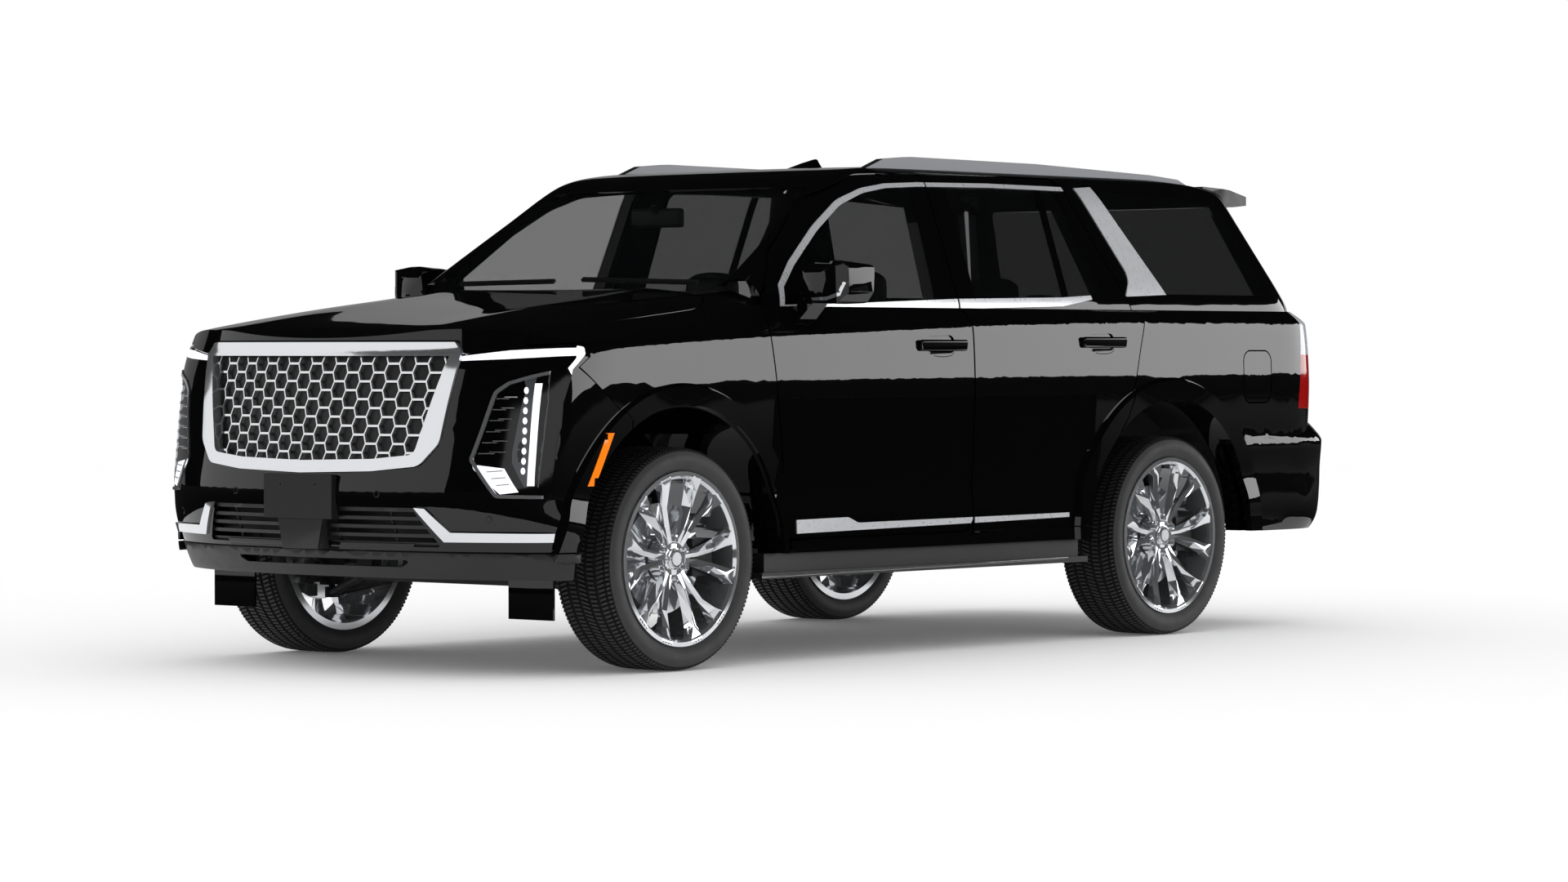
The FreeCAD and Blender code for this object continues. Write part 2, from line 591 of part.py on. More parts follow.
def body_panels():
    body = whole_body()
    layer = whole_body(DOOR_SKIN)
    seal = whole_body(DOOR_SKIN + SEAL_DEPTH)
    cavity = cabin_space()
    glass_layer = greenhouse(GLASS)
    left = block(0, FAR, front(320), FAR, SILL_BOTTOM, 2000)

    # Doors with their windows
    front_door = door(FRONT_DOOR, FRONT_DOOR_INNER, FRONT_WINDOW, body, layer, cavity)
    front_door = belt_corner(front_door)
    # the upper rear corners swing inwards of their hinges, so a little of their inside is left off
    front_door = front_door.cut(block(600, 722, front(1740), front(1760), 1850, 1900))
    front_door = hinge_posts(front_door, FRONT_HINGE_X, FRONT_HINGE_Y)
    rear_door = door(REAR_DOOR, REAR_DOOR_INNER, REAR_WINDOW, body, layer, cavity)
    rear_door = rear_door.cut(block(600, 738, rear(-452), rear(-395), 1850, 1900))
    rear_door = hinge_posts(rear_door, REAR_HINGE_X, REAR_HINGE_Y)
    panes = greenhouse().cut(glass_layer)
    front_glass = panes.common(side_prism(FRONT_WINDOW, 500, FAR))
    rear_glass = panes.common(side_prism(REAR_WINDOW, 500, FAR))
    quarter_glass = panes.common(side_prism(QUARTER_WINDOW, 500, FAR))
    windscreen = panes.common(front_prism(WINDSCREEN, front(300), front(1300)))
    frame_room = side_prism(FRONT_DOOR, 500, FAR, GAP)
    windscreen = largest(windscreen.cut(frame_room).cut(mirrored(frame_room)))

    # The side frame is what the doors, the fender and the tailgate leave
    shell = body.cut(cavity)
    half = shell.common(left).cut(block(-FAR, HALF - TRIM_PLANE, front(300), BAY_BACK, 300, 1372))
    for panel, inner in ((FRONT_DOOR, FRONT_DOOR_INNER), (REAR_DOOR, REAR_DOOR_INNER)):
        half = half.cut(side_prism(panel, 500, FAR, GAP).cut(seal))
        half = half.cut(side_prism(inner, 500, FAR, INNER_GAP))
    fender_room = side_prism([
        (front(300), 400), (front(640), 400), (front(600), 708), (front(545), 1075), (front(523), 1243, 100),
        (front(562), 1376), (front(562), 1420), (front(480), 1600), (front(300), 1600)], 500, FAR)
    rest = fender_room.common(block(760, FAR, -FAR, FAR, 300, 1700))
    half = half.cut(rest.cut(seal)).cut(rest.common(block(760, FAR, -FAR, front(480), 300, 1700)))
    half = half.cut(hinge_pocket(FRONT_HINGE_X, FRONT_HINGE_Y, 102, 889, 460, 1335))
    half = half.cut(hinge_pocket(FRONT_HINGE_X, FRONT_HINGE_Y, 104, 878, 1335, 1410))
    half = half.cut(hinge_pocket(REAR_HINGE_X, REAR_HINGE_Y, 50, 925, 460, 1250))
    half = half.cut(front_prism(WINDSCREEN, front(300), front(1300)))
    half = half.cut(side_prism(QUARTER_WINDOW, 500, FAR))

    half = half.cut(block(-FAR, HALF - TRIM_PLANE, -FAR, FAR, 300, FLOOR_TOP))
    half = half.cut(block(-FAR, COWL_SIDE, front(300), front(560), 1372, 1420))
    half = half.cut(block(-FAR, HALF - TRIM_PLANE, rear(1000), FAR, 300, GATE_BOTTOM))

    # Roof panel between the side frames, from the windscreen to the tailgate
    roof_block = block(-ROOF_SEAM, ROOF_SEAM, front(1040), rear(TAILGATE_SEAM) - SEAM_HALF, 1780, 2000)
    roof = shell.common(roof_block).cut(front_prism(WINDSCREEN, front(300), front(1300)))
    half = half.cut(block(-ROOF_SEAM, ROOF_SEAM, front(1040), rear(900), 1780, 2000))

    # Tailgate
    gate_room = front_prism(TAILGATE, rear(600), FAR, GAP).common(
        block(-FAR, FAR, rear(TAILGATE_SEAM) - SEAM_HALF, FAR, GATE_BOTTOM - GAP, 2000))
    gate = shell.common(front_prism(TAILGATE, rear(600), FAR)).common(
        block(-FAR, FAR, rear(TAILGATE_SEAM) + SEAM_HALF, FAR, GATE_BOTTOM, 2000))
    gate = gate.cut(front_prism(REAR_WINDOW_OUTLINE, rear(690), FAR))
    behind = whole_body(DOOR_SKIN).common(block(590, 720, rear(600), rear(860), 1760, 1900))
    gate = largest(gate.cut(behind).cut(mirrored(behind)))
    gate_glass = panes.common(front_prism(REAR_WINDOW_OUTLINE, rear(700), FAR))
    half = half.cut(gate_room)

    # Tail lamp, rear bumper and wheel opening
    lamp_side = [
        (rear(948), 930), (rear(980), 1290), (rear(984), 1390), (rear(935), 1500), (rear(770), 1785),
        (FAR, 1785), (FAR, 930)]
    lamp_room = side_prism(lamp_side, 600, FAR)
    deep = whole_body(40.0)
    lamp = half.common(lamp_room).cut(deep)
    half = half.cut(lamp_room.cut(deep))
    half = half.cut(rear_bumper_room().cut(deep))
    half = half.cut(arch(ARCH_RADIUS, REAR_AXLE, 0, 1200)).cut(arch(ARCH_RADIUS, FRONT_AXLE, 0, 1200))
    raised = lower_body(-FLARE_RISE)
    lip = flare(REAR_AXLE, FLARE_RADIUS + 8, raised, layer)
    on_door = lip.common(side_prism(REAR_DOOR, 500, FAR))
    lip = lip.cut(rear_bumper_room()).cut(side_prism(REAR_DOOR, 500, FAR, GAP))
    half = half.fuse(lip.common(block(0, FAR, -FAR, FAR, SILL_BOTTOM, 1700)))
    rear_door = rear_door.cut(arch(ARCH_RADIUS + 4, REAR_AXLE, 0, 1200)).fuse(on_door)

    # Fuel filler flap, its pocket and the rod that it turns on
    flap = side_prism(FUEL_DOOR, 800, FAR).common(body).cut(whole_body(FLAP_THICKNESS))
    barrel = upright(FLAP_BARREL, 1020, 1110, FLAP_HINGE_X, FLAP_HINGE_Y)
    rib = block(FLAP_HINGE_X - 3, FLAP_HINGE_X + 3, FLAP_HINGE_Y, FLAP_HINGE_Y + 16, 1020, 1110)
    flap = flap.multiFuse([barrel, rib]).cut(
        upright(FLAP_PIN + PIN_FIT, 900, 1200, FLAP_HINGE_X, FLAP_HINGE_Y))
    pocket = side_prism(FUEL_DOOR, 800, FAR, GAP).cut(whole_body(60.0)).common(whole_body(-5.0))
    half = half.multiFuse(hinge_arms(FRONT_HINGE_X, FRONT_HINGE_Y) + hinge_arms(REAR_HINGE_X, REAR_HINGE_Y))
    filler_side = half.cut(pocket).fuse(upright(FLAP_PIN, 945, 1188, FLAP_HINGE_X, FLAP_HINGE_Y))
    return {
        "front_door": front_door, "rear_door": rear_door, "front_glass": front_glass,
        "rear_glass": rear_glass, "side": half, "filler_side": filler_side, "quarter_glass": quarter_glass,
        "roof": roof,
        "windscreen": windscreen, "gate": gate, "gate_glass": gate_glass, "lamp": lamp, "flap": flap}


TAILGATE_SEAM = 640.0
SEAM_HALF = 8.0
GATE_BOTTOM = 884.0
COWL_SIDE = 760.0
REAR_PILLAR_X = 840.0
FLAP_THICKNESS = 6.0
FLAP_BARREL = 4.5
FLAP_PIN = 2.0
FLAP_HINGE_X = 994.0
FLAP_HINGE_Y = rear(568)


REAR_BUMPER = [
    (398, 40, 1255), (440, 6, 1290), (560, 3, 1312), (680, 6, 1318), (778, 0, 1326), (800, 0, 1326),
    (842, 24, 1300), (866, 34, 1272)]


# Bright trim, as (y, z) seen from the side; each stands a little proud of the skin

TRIM_PROUD = 3.5
TRIM_CLEAR = 0.5
ACCENT_PROUD = 8.0
WINDOW_TRIM = [
    (front(647), 1323), (front(676), 1427), (front(778), 1516), (front(977), 1655, 300), (front(1163), 1762, 300),
    (front(1328), 1811, 300), (front(1487), 1833), (front(1697), 1843), (front(2161), 1850), (front(2685), 1848),
    (front(2685), 1832), (front(2161), 1834), (front(1697), 1827), (front(1487), 1816), (front(1332), 1793, 300),
    (front(1172), 1742, 300), (front(990), 1637, 300), (front(796), 1502), (front(697), 1418), (front(676), 1350),
    (front(1177), 1362), (front(1744), 1381), (front(2439), 1392), (front(2636), 1402), (front(2640), 1386),
    (front(2430), 1357), (front(1734), 1342), (front(999), 1328)]
BLADE = [
    (front(2744), 1846), (front(2859), 1853), (front(3168), 1410), (front(2880), 1400), (front(2942), 1479, 60)]
DOOR_STRIP = [
    (front(658), 538), (front(965), 541, 60), (front(1027), 518, 60), (front(1712), 521), (front(2374), 524),
    (front(2375), 507), (front(1734), 499), (front(662), 487)]


# The bumper's accent, as (x, z)
ACCENT = [(524, 612), (566, 609), (649, 524), (1040, 522), (1040, 492), (617, 490)]


def trim(points, clip=None):
    strip = side_prism(points, 500, FAR)
    if clip:
        strip = strip.common(side_prism(clip, 500, FAR, -2.0))
    return strip.common(whole_body(-TRIM_PROUD)).cut(whole_body(-TRIM_CLEAR))


def door_trim(panel):
    return Part.makeCompound(trim(WINDOW_TRIM, panel).Solids + trim(DOOR_STRIP, panel).Solids)


def front_trim():
    # The bumper's angled accents and the bezels round the lamp pods.
    accent = front_prism(ACCENT, -FAR, front(-662)).common(lower_body(-ACCENT_PROUD)).cut(lower_body(-TRIM_CLEAR))
    bezel = front_prism(LAMP_POD, -FAR, front(-636), -2.0).cut(front_prism(LAMP_POD, -FAR, 0, -13.0))
    bezel = bezel.common(block(0, 952, -FAR, 0, 600, 1200))
    bezel = bezel.common(lower_body(-4.0)).cut(lower_body(0.5))
    return [accent, largest(bezel)]


# Both ends and the height of each door's handle
FRONT_HANDLE = (front(1401), front(1691), 1196.0)
REAR_HANDLE = (front(2464), front(2747), 1206.0)


def handle(y_low, y_high, z):
    # A grip on two feet over a shallow cup.
    grip = side_prism([
        (y_low, z - 12, 8), (y_low, z + 14, 10), (y_high, z + 22, 10), (y_high, z - 6, 8)], 900, FAR)
    grip = grip.common(lower_body(-16.0)).cut(lower_body(-4.0))
    feet = block(900, FAR, y_low + 6, y_low + 40, z - 8, z + 10).fuse(
        block(900, FAR, y_high - 60, y_high - 8, z - 4, z + 16))
    feet = feet.common(lower_body(-12.0)).cut(lower_body(4.0))
    cup = side_prism([
        (y_low + 44, z - 34, 30), (y_low + 44, z + 36, 30), (y_high - 64, z + 42, 30), (y_high - 64, z - 28, 30)],
        900, FAR).cut(lower_body(7.0))
    return grip.fuse(feet), cup


def with_handle(panel, y_low, y_high, z):
    grip, cup = handle(y_low, y_high, z)
    return panel.cut(cup).fuse(grip)


def rear_bumper_ring(inset=0.0, drop=0.0):
    rings = []
    for index, (z, narrow, tail) in enumerate(REAR_BUMPER):
        w = HALF - narrow - inset
        t = rear(tail - inset)
        y = rear(380 + inset)
        plan = [
            (150, y), (500, y), (850, y), (w, y), (w, rear(600)), (w, t - 420), (w, t - 230),
            (w * 0.95, t - 85), (w * 0.62, t - 12), (w * 0.2, t)]
        rings.append([Vec(a, b, z - drop if index == 0 else z) for a, b in plan])
    return ring_solid(rings)


def rear_bumper_room():
    seam = [
        (rear(385), 300), (rear(470), 560), (rear(438), 700), (rear(385), 889), (rear(830), 926),
        (rear(905), 996), (rear(1400), 996), (rear(1400), 300)]
    return side_prism(seam, -FAR, FAR)


REST_GAP = 0.5


def rear_bumper():
    shell = rear_bumper_ring().cut(rear_bumper_ring(SKIN, 60)).common(rear_bumper_room())
    shell = shell.cut(block(-FAR, FAR, -FAR, rear(700), 300, 1000).common(whole_body(SKIN)))
    shell = shell.cut(arch(ARCH_RADIUS, REAR_AXLE, -1200, 1200))
    shell = shell.cut(block(-62, 62, rear(1100), FAR, 392, 492))
    low_edge = side_prism([
        (rear(350), 300), (rear(350), 398), (rear(824), 444), (rear(932), 520), (rear(1100), 560), (FAR, 560), (FAR, 300)],
        -FAR, FAR)
    skin = whole_body().cut(whole_body(SKIN)).common(rear_bumper_room()).cut(low_edge)
    skin = skin.cut(block(-812, 812, rear(1000), FAR, 300, 1100)).cut(arch(ARCH_RADIUS, REAR_AXLE, -1200, 1200))
    raised = lower_body(-FLARE_RISE)
    lip = flare(REAR_AXLE, FLARE_RADIUS + 8, raised, lower_body(SKIN))
    lip = lip.common(rear_bumper_room()).common(block(0, FAR, -FAR, FAR, SILL_BOTTOM, 1700))
    whole = shell.multiFuse([skin, lip, mirrored(lip)])
    side = HALF - TRIM_PLANE + REST_GAP
    whole = whole.cut(block(-side, side, -FAR, rear(1150) + REST_GAP, 559.5, GATE_BOTTOM - 11))
    lamp_room = side_prism([
        (rear(948) - REST_GAP, 930 - REST_GAP), (rear(948) - REST_GAP, 1100), (FAR, 1100), (FAR, 930 - REST_GAP)],
        600, FAR)
    wing = block(884, 960 + REST_GAP, -FAR, rear(900) + REST_GAP, 797 - REST_GAP, 866 + REST_GAP)
    for room in (lamp_room, wing):
        whole = whole.cut(room).cut(mirrored(room))
    return largest(whole)


# Turned pieces

def turned(points, x, y=0.0, z=0.0):
    # A profile of (distance outward, radius) turned about an axle that runs across the vehicle.
    wire = Part.makePolygon([Vec(x + a, y, z + r) for a, r in points + points[:1]])
    return Part.Face(wire).revolve(Vec(x, y, z), Vec(1, 0, 0), 360)


BEAD_RADIUS = BARREL_RADIUS + BARREL_WALL
RIM_HALF = 133.0
FLANGE = 8.0
TYRE_HALF = TYRE_WIDTH / 2
TYRE_PROFILE = [
    (-RIM_HALF + FLANGE, BEAD_RADIUS), (-RIM_HALF + FLANGE, 324), (-TYRE_HALF + 3, 342), (-TYRE_HALF, 366),
    (-TYRE_HALF + 8, 392), (-TYRE_HALF + 30, 407), (-60, TYRE_RADIUS), (60, TYRE_RADIUS),
    (TYRE_HALF - 30, 407), (TYRE_HALF - 8, 392), (TYRE_HALF, 366), (TYRE_HALF - 3, 342),
    (RIM_HALF - FLANGE, 324), (RIM_HALF - FLANGE, BEAD_RADIUS), (RIM_HALF - FLANGE - 16, BEAD_RADIUS),
    (RIM_HALF - FLANGE - 14, 330), (TYRE_HALF - 14, 366), (TYRE_HALF - 34, 396), (-TYRE_HALF + 34, 396),
    (-TYRE_HALF + 14, 366), (-RIM_HALF + FLANGE + 14, 330), (-RIM_HALF + FLANGE + 16, BEAD_RADIUS)]
RIM_PROFILE = [
    (-RIM_HALF, 322), (-RIM_HALF + FLANGE, 322), (-RIM_HALF + FLANGE, BEAD_RADIUS),
    (RIM_HALF - FLANGE, BEAD_RADIUS), (RIM_HALF - FLANGE, 322), (RIM_HALF, 322), (RIM_HALF, 306),
    (RIM_HALF - 10, BARREL_RADIUS), (-RIM_HALF, BARREL_RADIUS)]
DISC_X = 890.0
HUB_FACE = 915.0
SPOKE_BACK = 948.0
BEARING_X = 862.0


def tyre(y):
    return turned(TYRE_PROFILE, WHEEL_X, y, HUB_Z)


# Sections of a spoke: radius, degrees from the middle of its pair, half width, back and front in x, twist in degrees
SPOKE_SECTIONS = [
    (62, 9, 12, SPOKE_BACK - 6, SPOKE_BACK + 16, 0), (120, 9, 11, SPOKE_BACK - 2, SPOKE_BACK + 26, 22),
    (200, 11, 12, SPOKE_BACK, SPOKE_BACK + 36, 34), (262, 13, 20, SPOKE_BACK + 10, SPOKE_BACK + 46, 16),
    (300, 14, 33, SPOKE_BACK + 14, SPOKE_BACK + 50, 0)]


def faceted(sections):
    # Flat triangles between rings of points, closed at both ends.
    faces = [Part.Face(Part.makePolygon(ring + ring[:1])) for ring in (sections[0], sections[-1])]
    for ring, after in zip(sections, sections[1:]):
        for i, point in enumerate(ring):
            j = (i + 1) % len(ring)
            for corners in ((point, ring[j], after[j]), (point, after[j], after[i])):
                faces.append(Part.Face(Part.makePolygon(corners + corners[:1])))
    solid = Part.Solid(Part.Shell(faces))
    if solid.Volume < 0:
        solid.reverse()
    return solid


def spoke(y, angle, lean):
    # Four-sided sections joined from hub to rim, each turned about the spoke's own length.
    sections = []
    for radius, drift, half, back, face, twist in SPOKE_SECTIONS:
        centre = math.radians(angle + lean * drift)
        outward = Vec(0, math.sin(centre), math.cos(centre))
        sideways = Vec(0, math.cos(centre), -math.sin(centre))
        turn = math.radians(lean * twist)
        middle = (back + face) / 2
        points = []
        for w, x in ((-half, back), (half, back), (half * 0.8, face), (-half * 0.8, face)):
            depth = x - middle
            place = outward * radius + sideways * (w * math.cos(turn) - depth * math.sin(turn))
            points.append(Vec(middle + w * math.sin(turn) + depth * math.cos(turn), y + place.y, HUB_Z + place.z))
        sections.append(points)
    return faceted(sections)


def wheel(y):
    rim = turned(RIM_PROFILE, WHEEL_X, y, HUB_Z)
    disc = across(DISC_RADIUS, DISC_X - DISC_WIDTH / 2, DISC_X + DISC_WIDTH / 2, y, HUB_Z)
    hub = across(60, BEARING_X, HUB_FACE, y, HUB_Z)
    pad = across(HUB_RADIUS, HUB_FACE - 2, SPOKE_BACK + 14, y, HUB_Z)
    cap = across(40, SPOKE_BACK, SPOKE_BACK + 22, y, HUB_Z)
    spokes = []
    for unit in range(SPOKE_COUNT // 2):
        for lean in (-1, 1):
            spokes.append(spoke(y, 360 / (SPOKE_COUNT // 2) * (unit + 0.5), lean))
    whole = rim.multiFuse([disc, hub, pad, cap] + spokes)
    bore = across(SPINDLE_RADIUS + PIN_FIT, BEARING_X - 1, DISC_X + 16, y, HUB_Z)
    return whole.cut(bore)


# Chassis

RAIL_IN = 410.0
RAIL_OUT = 490.0
RAIL_WALL = 5.0
PLATE_PITCH = 177.8
RAIL_TOP = FLOOR_BOTTOM
BEAM_BACK = 440.0
RAIL = [
    (front(-780), 470), (front(-780), 560), (front(290), 560), (front(440), RAIL_TOP), (rear(1150), RAIL_TOP),
    (rear(1150), BEAM_BACK), (rear(-420), BEAM_BACK), (rear(-520), 385), (front(560), 385), (front(400), 470)]
LOWER_BALL = 235.0
UPPER_BALL = 615.0


def cross_beam(y_low, y_high):
    return block(-RAIL_IN, RAIL_IN, y_low, y_high, BEAM_BACK, RAIL_TOP)


def ladder_frame(absorber):
    rail = side_prism(RAIL, RAIL_IN, RAIL_OUT).cut(side_prism(RAIL, RAIL_IN + RAIL_WALL, RAIL_OUT - RAIL_WALL, -RAIL_WALL))
    post = block(260, RAIL_IN + 19.7, front(20), front(100), 560, 640)
    mount = block(395, 455, front(-705), front(-655), 555, 1080)
    pieces = [rail, mirrored(rail), post, mirrored(post), mount, mirrored(mount)]
    pieces.append(block(-RAIL_IN, RAIL_IN, front(-770), front(-710), 480, 550))
    for y in (front(950), front(1700), rear(-560), rear(420), rear(1090)):
        pieces.append(cross_beam(y, y + 60))
    pieces.append(block(-455, 455, front(-700), front(-660), 1080, 1110))
    pieces.append(block(-395, 395, front(-700), front(-660), 580, 1080))
    pieces.append(block(-560, 560, front(-822), front(-780), 500, 700))
    pieces.append(absorber)
    frame = pieces[0].multiFuse(pieces[1:])
    for x in (-PLATE_PITCH / 2, PLATE_PITCH / 2):
        frame = frame.cut(Part.makeCylinder(4.0, 300, Vec(x, front(-1000), 690), Vec(0, 1, 0)))
    return frame


SOCKET = 25.5
SOCKET_WALL = 6.5
SOCKET_Z = 440.0
HITCH_PIN = 8.0
HITCH_PIN_Y = rear(1250)


def hitch_receiver():
    # A square socket on the back of the rear cross beam, with a cross hole for the pin.
    side = SOCKET + SOCKET_WALL
    tube = block(-side, side, rear(1150), rear(1290), SOCKET_Z - side, SOCKET_Z + side)
    flange = block(-90, 90, rear(1150), rear(1160), SOCKET_Z - side, RAIL_TOP)
    whole = tube.fuse(flange)
    whole = whole.cut(block(-SOCKET, SOCKET, rear(1160), FAR, SOCKET_Z - SOCKET, SOCKET_Z + SOCKET))
    return whole.cut(across(HITCH_PIN, -60, 60, HITCH_PIN_Y, SOCKET_Z))


def front_suspension():
    pieces = []
    for y in (front(-190), front(140)):
        pieces.append(block(-RAIL_OUT, RAIL_OUT, y, y + 50, 300, 345))
    pieces.append(across(28, -400, 400, front(-230), 330))
    for side in (1, -1):
        for y in (front(-190), front(140)):
            pieces.append(block(min(side * RAIL_IN, side * RAIL_OUT), max(side * RAIL_IN, side * RAIL_OUT),
                                y, y + 50, 340, 470))
        low = min(side * 180, side * 230)
        pieces.append(block(low, low + 50, front(-240), front(-185), 308, 345))
        low = min(side * 590, side * 632)
        pieces.append(block(low, low + 42, front(-105), front(105), 268, 298))
        x = side * KINGPIN_X
        boss = upright(28, LOWER_BALL - 20, LOWER_BALL + 20, x, FRONT_AXLE)
        top = upright(28, UPPER_BALL - 20, UPPER_BALL + 20, x, FRONT_AXLE)
        pieces += [boss, top]
        for y in (-165, 165):
            pieces.append(bar(Vec(side * 470, front(y), 320), Vec(side * 796, front(y * 0.06), LOWER_BALL + 1), 17))
            pieces.append(bar(Vec(side * 470, front(y * 0.7), 650), Vec(side * 796, front(y * 0.06), UPPER_BALL + 1), 13))
        pieces.append(block(min(side * 430, side * 500), max(side * 430, side * 500), front(-150), front(150), 560, 800))
        pieces.append(block(min(side * 490, side * 600), max(side * 490, side * 600), front(-60), front(60), 780, 800))
        pieces.append(bar(Vec(side * 610, front(0), 282), Vec(side * 545, front(0), 790), 45))
    whole = pieces[0].multiFuse(pieces[1:])
    for side in (1, -1):
        whole = whole.cut(upright(KINGPIN_RADIUS + PIN_FIT, 200, 660, side * KINGPIN_X, FRONT_AXLE).cut(
            block(-FAR, FAR, -FAR, FAR, LOWER_BALL + 21, UPPER_BALL - 21)))
    return whole.cut(across(21, -725, 725, FRONT_AXLE, HUB_Z))


def knuckle():
    y = FRONT_AXLE
    post = block(KINGPIN_X - 28, KINGPIN_X + 26, y - 42, y + 42, LOWER_BALL + 29, UPPER_BALL - 27)
    boss = across(62, KINGPIN_X - 20, BEARING_X - 3, y, HUB_Z)
    spindle = across(SPINDLE_RADIUS, KINGPIN_X, DISC_X + 13, y, HUB_Z)
    pin = upright(KINGPIN_RADIUS, LOWER_BALL - 17, UPPER_BALL + 17, KINGPIN_X, y)
    bracket = block(KINGPIN_X, 848, y + 20, y + 235, HUB_Z - 34, HUB_Z + 34)
    arm = block(KINGPIN_X - 22, KINGPIN_X + 20, y - 140, y, 290, 322)
    grip = block(840, 940, y + 128, y + 238, HUB_Z - 70, HUB_Z + 70)
    grip = grip.cut(across(DISC_RADIUS + 4, DISC_X - 20, DISC_X + 20, y, HUB_Z))
    return post.multiFuse([boss, spindle, pin, bracket, arm, grip])


def rear_suspension():
    pieces = []
    for y in (rear(-230), rear(180)):
        pieces.append(block(-RAIL_OUT, RAIL_OUT, y, y + 50, 300, 340))
    for side in (1, -1):
        for y in (rear(-230), rear(180)):
            pieces.append(block(min(side * RAIL_IN, side * RAIL_OUT), max(side * RAIL_IN, side * RAIL_OUT),
                                y, y + 50, 335, BEAM_BACK))
            pieces.append(bar(Vec(side * 470, y + 25, 320), Vec(side * 800, REAR_AXLE + (y - REAR_AXLE) * 0.15, 330), 18))
        low = min(side * 760, side * 858)
        pieces.append(block(low, low + 98, rear(-70), rear(70), 300, 488))
        inner = min(side * 800, side * (DISC_X + 13))
        pieces.append(across(SPINDLE_RADIUS, inner, inner + DISC_X + 13 - 800, REAR_AXLE, HUB_Z))
        inner = min(side * 840, side * 940)
        grip = block(inner, inner + 100, rear(128), rear(238), HUB_Z - 70, HUB_Z + 70)
        inner = min(side * (DISC_X - 20), side * (DISC_X + 20))
        grip = grip.cut(across(DISC_RADIUS + 4, inner, inner + 40, REAR_AXLE, HUB_Z))
        inner = min(side * 820, side * 848)
        pieces += [grip, block(inner, inner + 28, rear(20), rear(235), HUB_Z - 34, HUB_Z + 34)]
        pieces.append(bar(Vec(side * 600, rear(110), 330), Vec(side * 600, rear(110), 500), 40))
    return pieces[0].multiFuse(pieces[1:])


def drivetrain():
    gearbox = block(-140, 140, front(300), front(950), 300, 490)
    bell = block(-200, 200, front(400), front(450), 480, 900)
    transfer = block(130, 240, front(700), front(900), 320, 450)
    pieces = [gearbox, bell, transfer]
    pieces.append(block(-100, 100, front(-140), front(140), 320, 470))
    pieces.append(bar(Vec(190, front(701), 385), Vec(70, front(138), 390), 22))
    pieces.append(bar(Vec(0, front(940), 385), Vec(0, rear(-145), 398), 35))
    pieces.append(block(-120, 120, rear(-150), rear(180), 320, 480))
    pieces.append(across(20, -725, 725, FRONT_AXLE, HUB_Z))
    pieces.append(across(20, -759.7, 759.7, REAR_AXLE, HUB_Z))
    for side in (1, -1):
        inner = min(side * 650, side * 725)
        pieces.append(across(42, inner, inner + 75, FRONT_AXLE, HUB_Z))
        inner = min(side * 680, side * 755)
        pieces.append(across(42, inner, inner + 75, REAR_AXLE, HUB_Z))
    return pieces[0].multiFuse(pieces[1:])


PIPE_RADIUS = 24.0


def exhaust():
    z = 366.0
    path = [
        Vec(-250, front(480), z), Vec(-270, rear(-520), z), Vec(-270, rear(-300), z), Vec(-270, rear(300), z),
        Vec(-560, rear(640), 355), Vec(-560, rear(1215), 355)]
    pieces = [bar(a, b, PIPE_RADIUS) for a, b in zip(path, path[1:])]
    pieces += [Part.makeSphere(PIPE_RADIUS, p) for p in path[1:-1]]
    pieces.append(bar(Vec(-255, front(1050), z), Vec(-262, front(1650), z), 62))
    pieces.append(block(-285, -235, front(960), front(1000), z, BEAM_BACK))
    pieces.append(block(-295, -245, front(1710), front(1750), z, BEAM_BACK))
    whole = pieces[0].multiFuse(pieces[1:])
    return whole.cut(bar(path[-1] - Vec(0, 120, 0), path[-1] + Vec(0, 1, 0), PIPE_RADIUS - 3))


def fuel_tank():
    return block(120, 400, front(1060), front(2150), 290, BEAM_BACK)


# Cabin

def floor():
    side = HALF - TRIM_PLANE
    slab = block(-side, side, BAY_BACK, rear(1108), FLOOR_BOTTOM, FLOOR_TOP)
    wall = block(-side, side, BAY_BACK - 12, BAY_BACK, FLOOR_BOTTOM, 1372)
    sill = block(-side, side, rear(1096), rear(1150), FLOOR_BOTTOM, GATE_BOTTOM - 12)
    shell = whole_body(2.0).cut(cabin_space())
    cowl = shell.common(block(-COWL_SIDE, COWL_SIDE, front(320), front(560), 1372, 1402))
    body = slab.multiFuse([wall, sill, cowl])
    for s in (1, -1):
        low = min(s * 690, s * side)
        tube = arch(ARCH_RADIUS, REAR_AXLE, low, low + side - 690).cut(
            arch(ARCH_RADIUS - LINER, REAR_AXLE, -FAR, FAR))
        disc_low = min(s * 690, s * 698)
        disc = arch(ARCH_RADIUS - 2, REAR_AXLE, disc_low, disc_low + 8)
        above = block(-FAR, FAR, -FAR, FAR, FLOOR_BOTTOM, 2000)
        room_low = min(s * 698, s * side)
        room = arch(ARCH_RADIUS - LINER, REAR_AXLE, room_low, room_low + side - 698)
        body = body.cut(room).fuse(tube.fuse(disc).common(above))
    liner_room = arch(ARCH_RADIUS + REST_GAP, FRONT_AXLE, LINER_X - REST_GAP, HALF)
    body = body.cut(liner_room).cut(mirrored(liner_room))
    for s in (1, -1):
        x = s * HOOD_HINGE_X
        body = body.cut(block(x - 22, x + 22, front(300), front(449.5), 1371, 1420))
        for dx in (-17, 7):
            body = body.fuse(block(x + dx, x + dx + 10, front(424), front(455), 1366, 1390))
        body = body.fuse(across(HOOD_PIN, x - 16, x + 16, HOOD_HINGE_Y, HOOD_HINGE_Z))
    return body


HOOD_HINGE_X = 650.0
HOOD_HINGE_Y = front(436)
HOOD_HINGE_Z = 1379.0
HOOD_PIN = 4.0


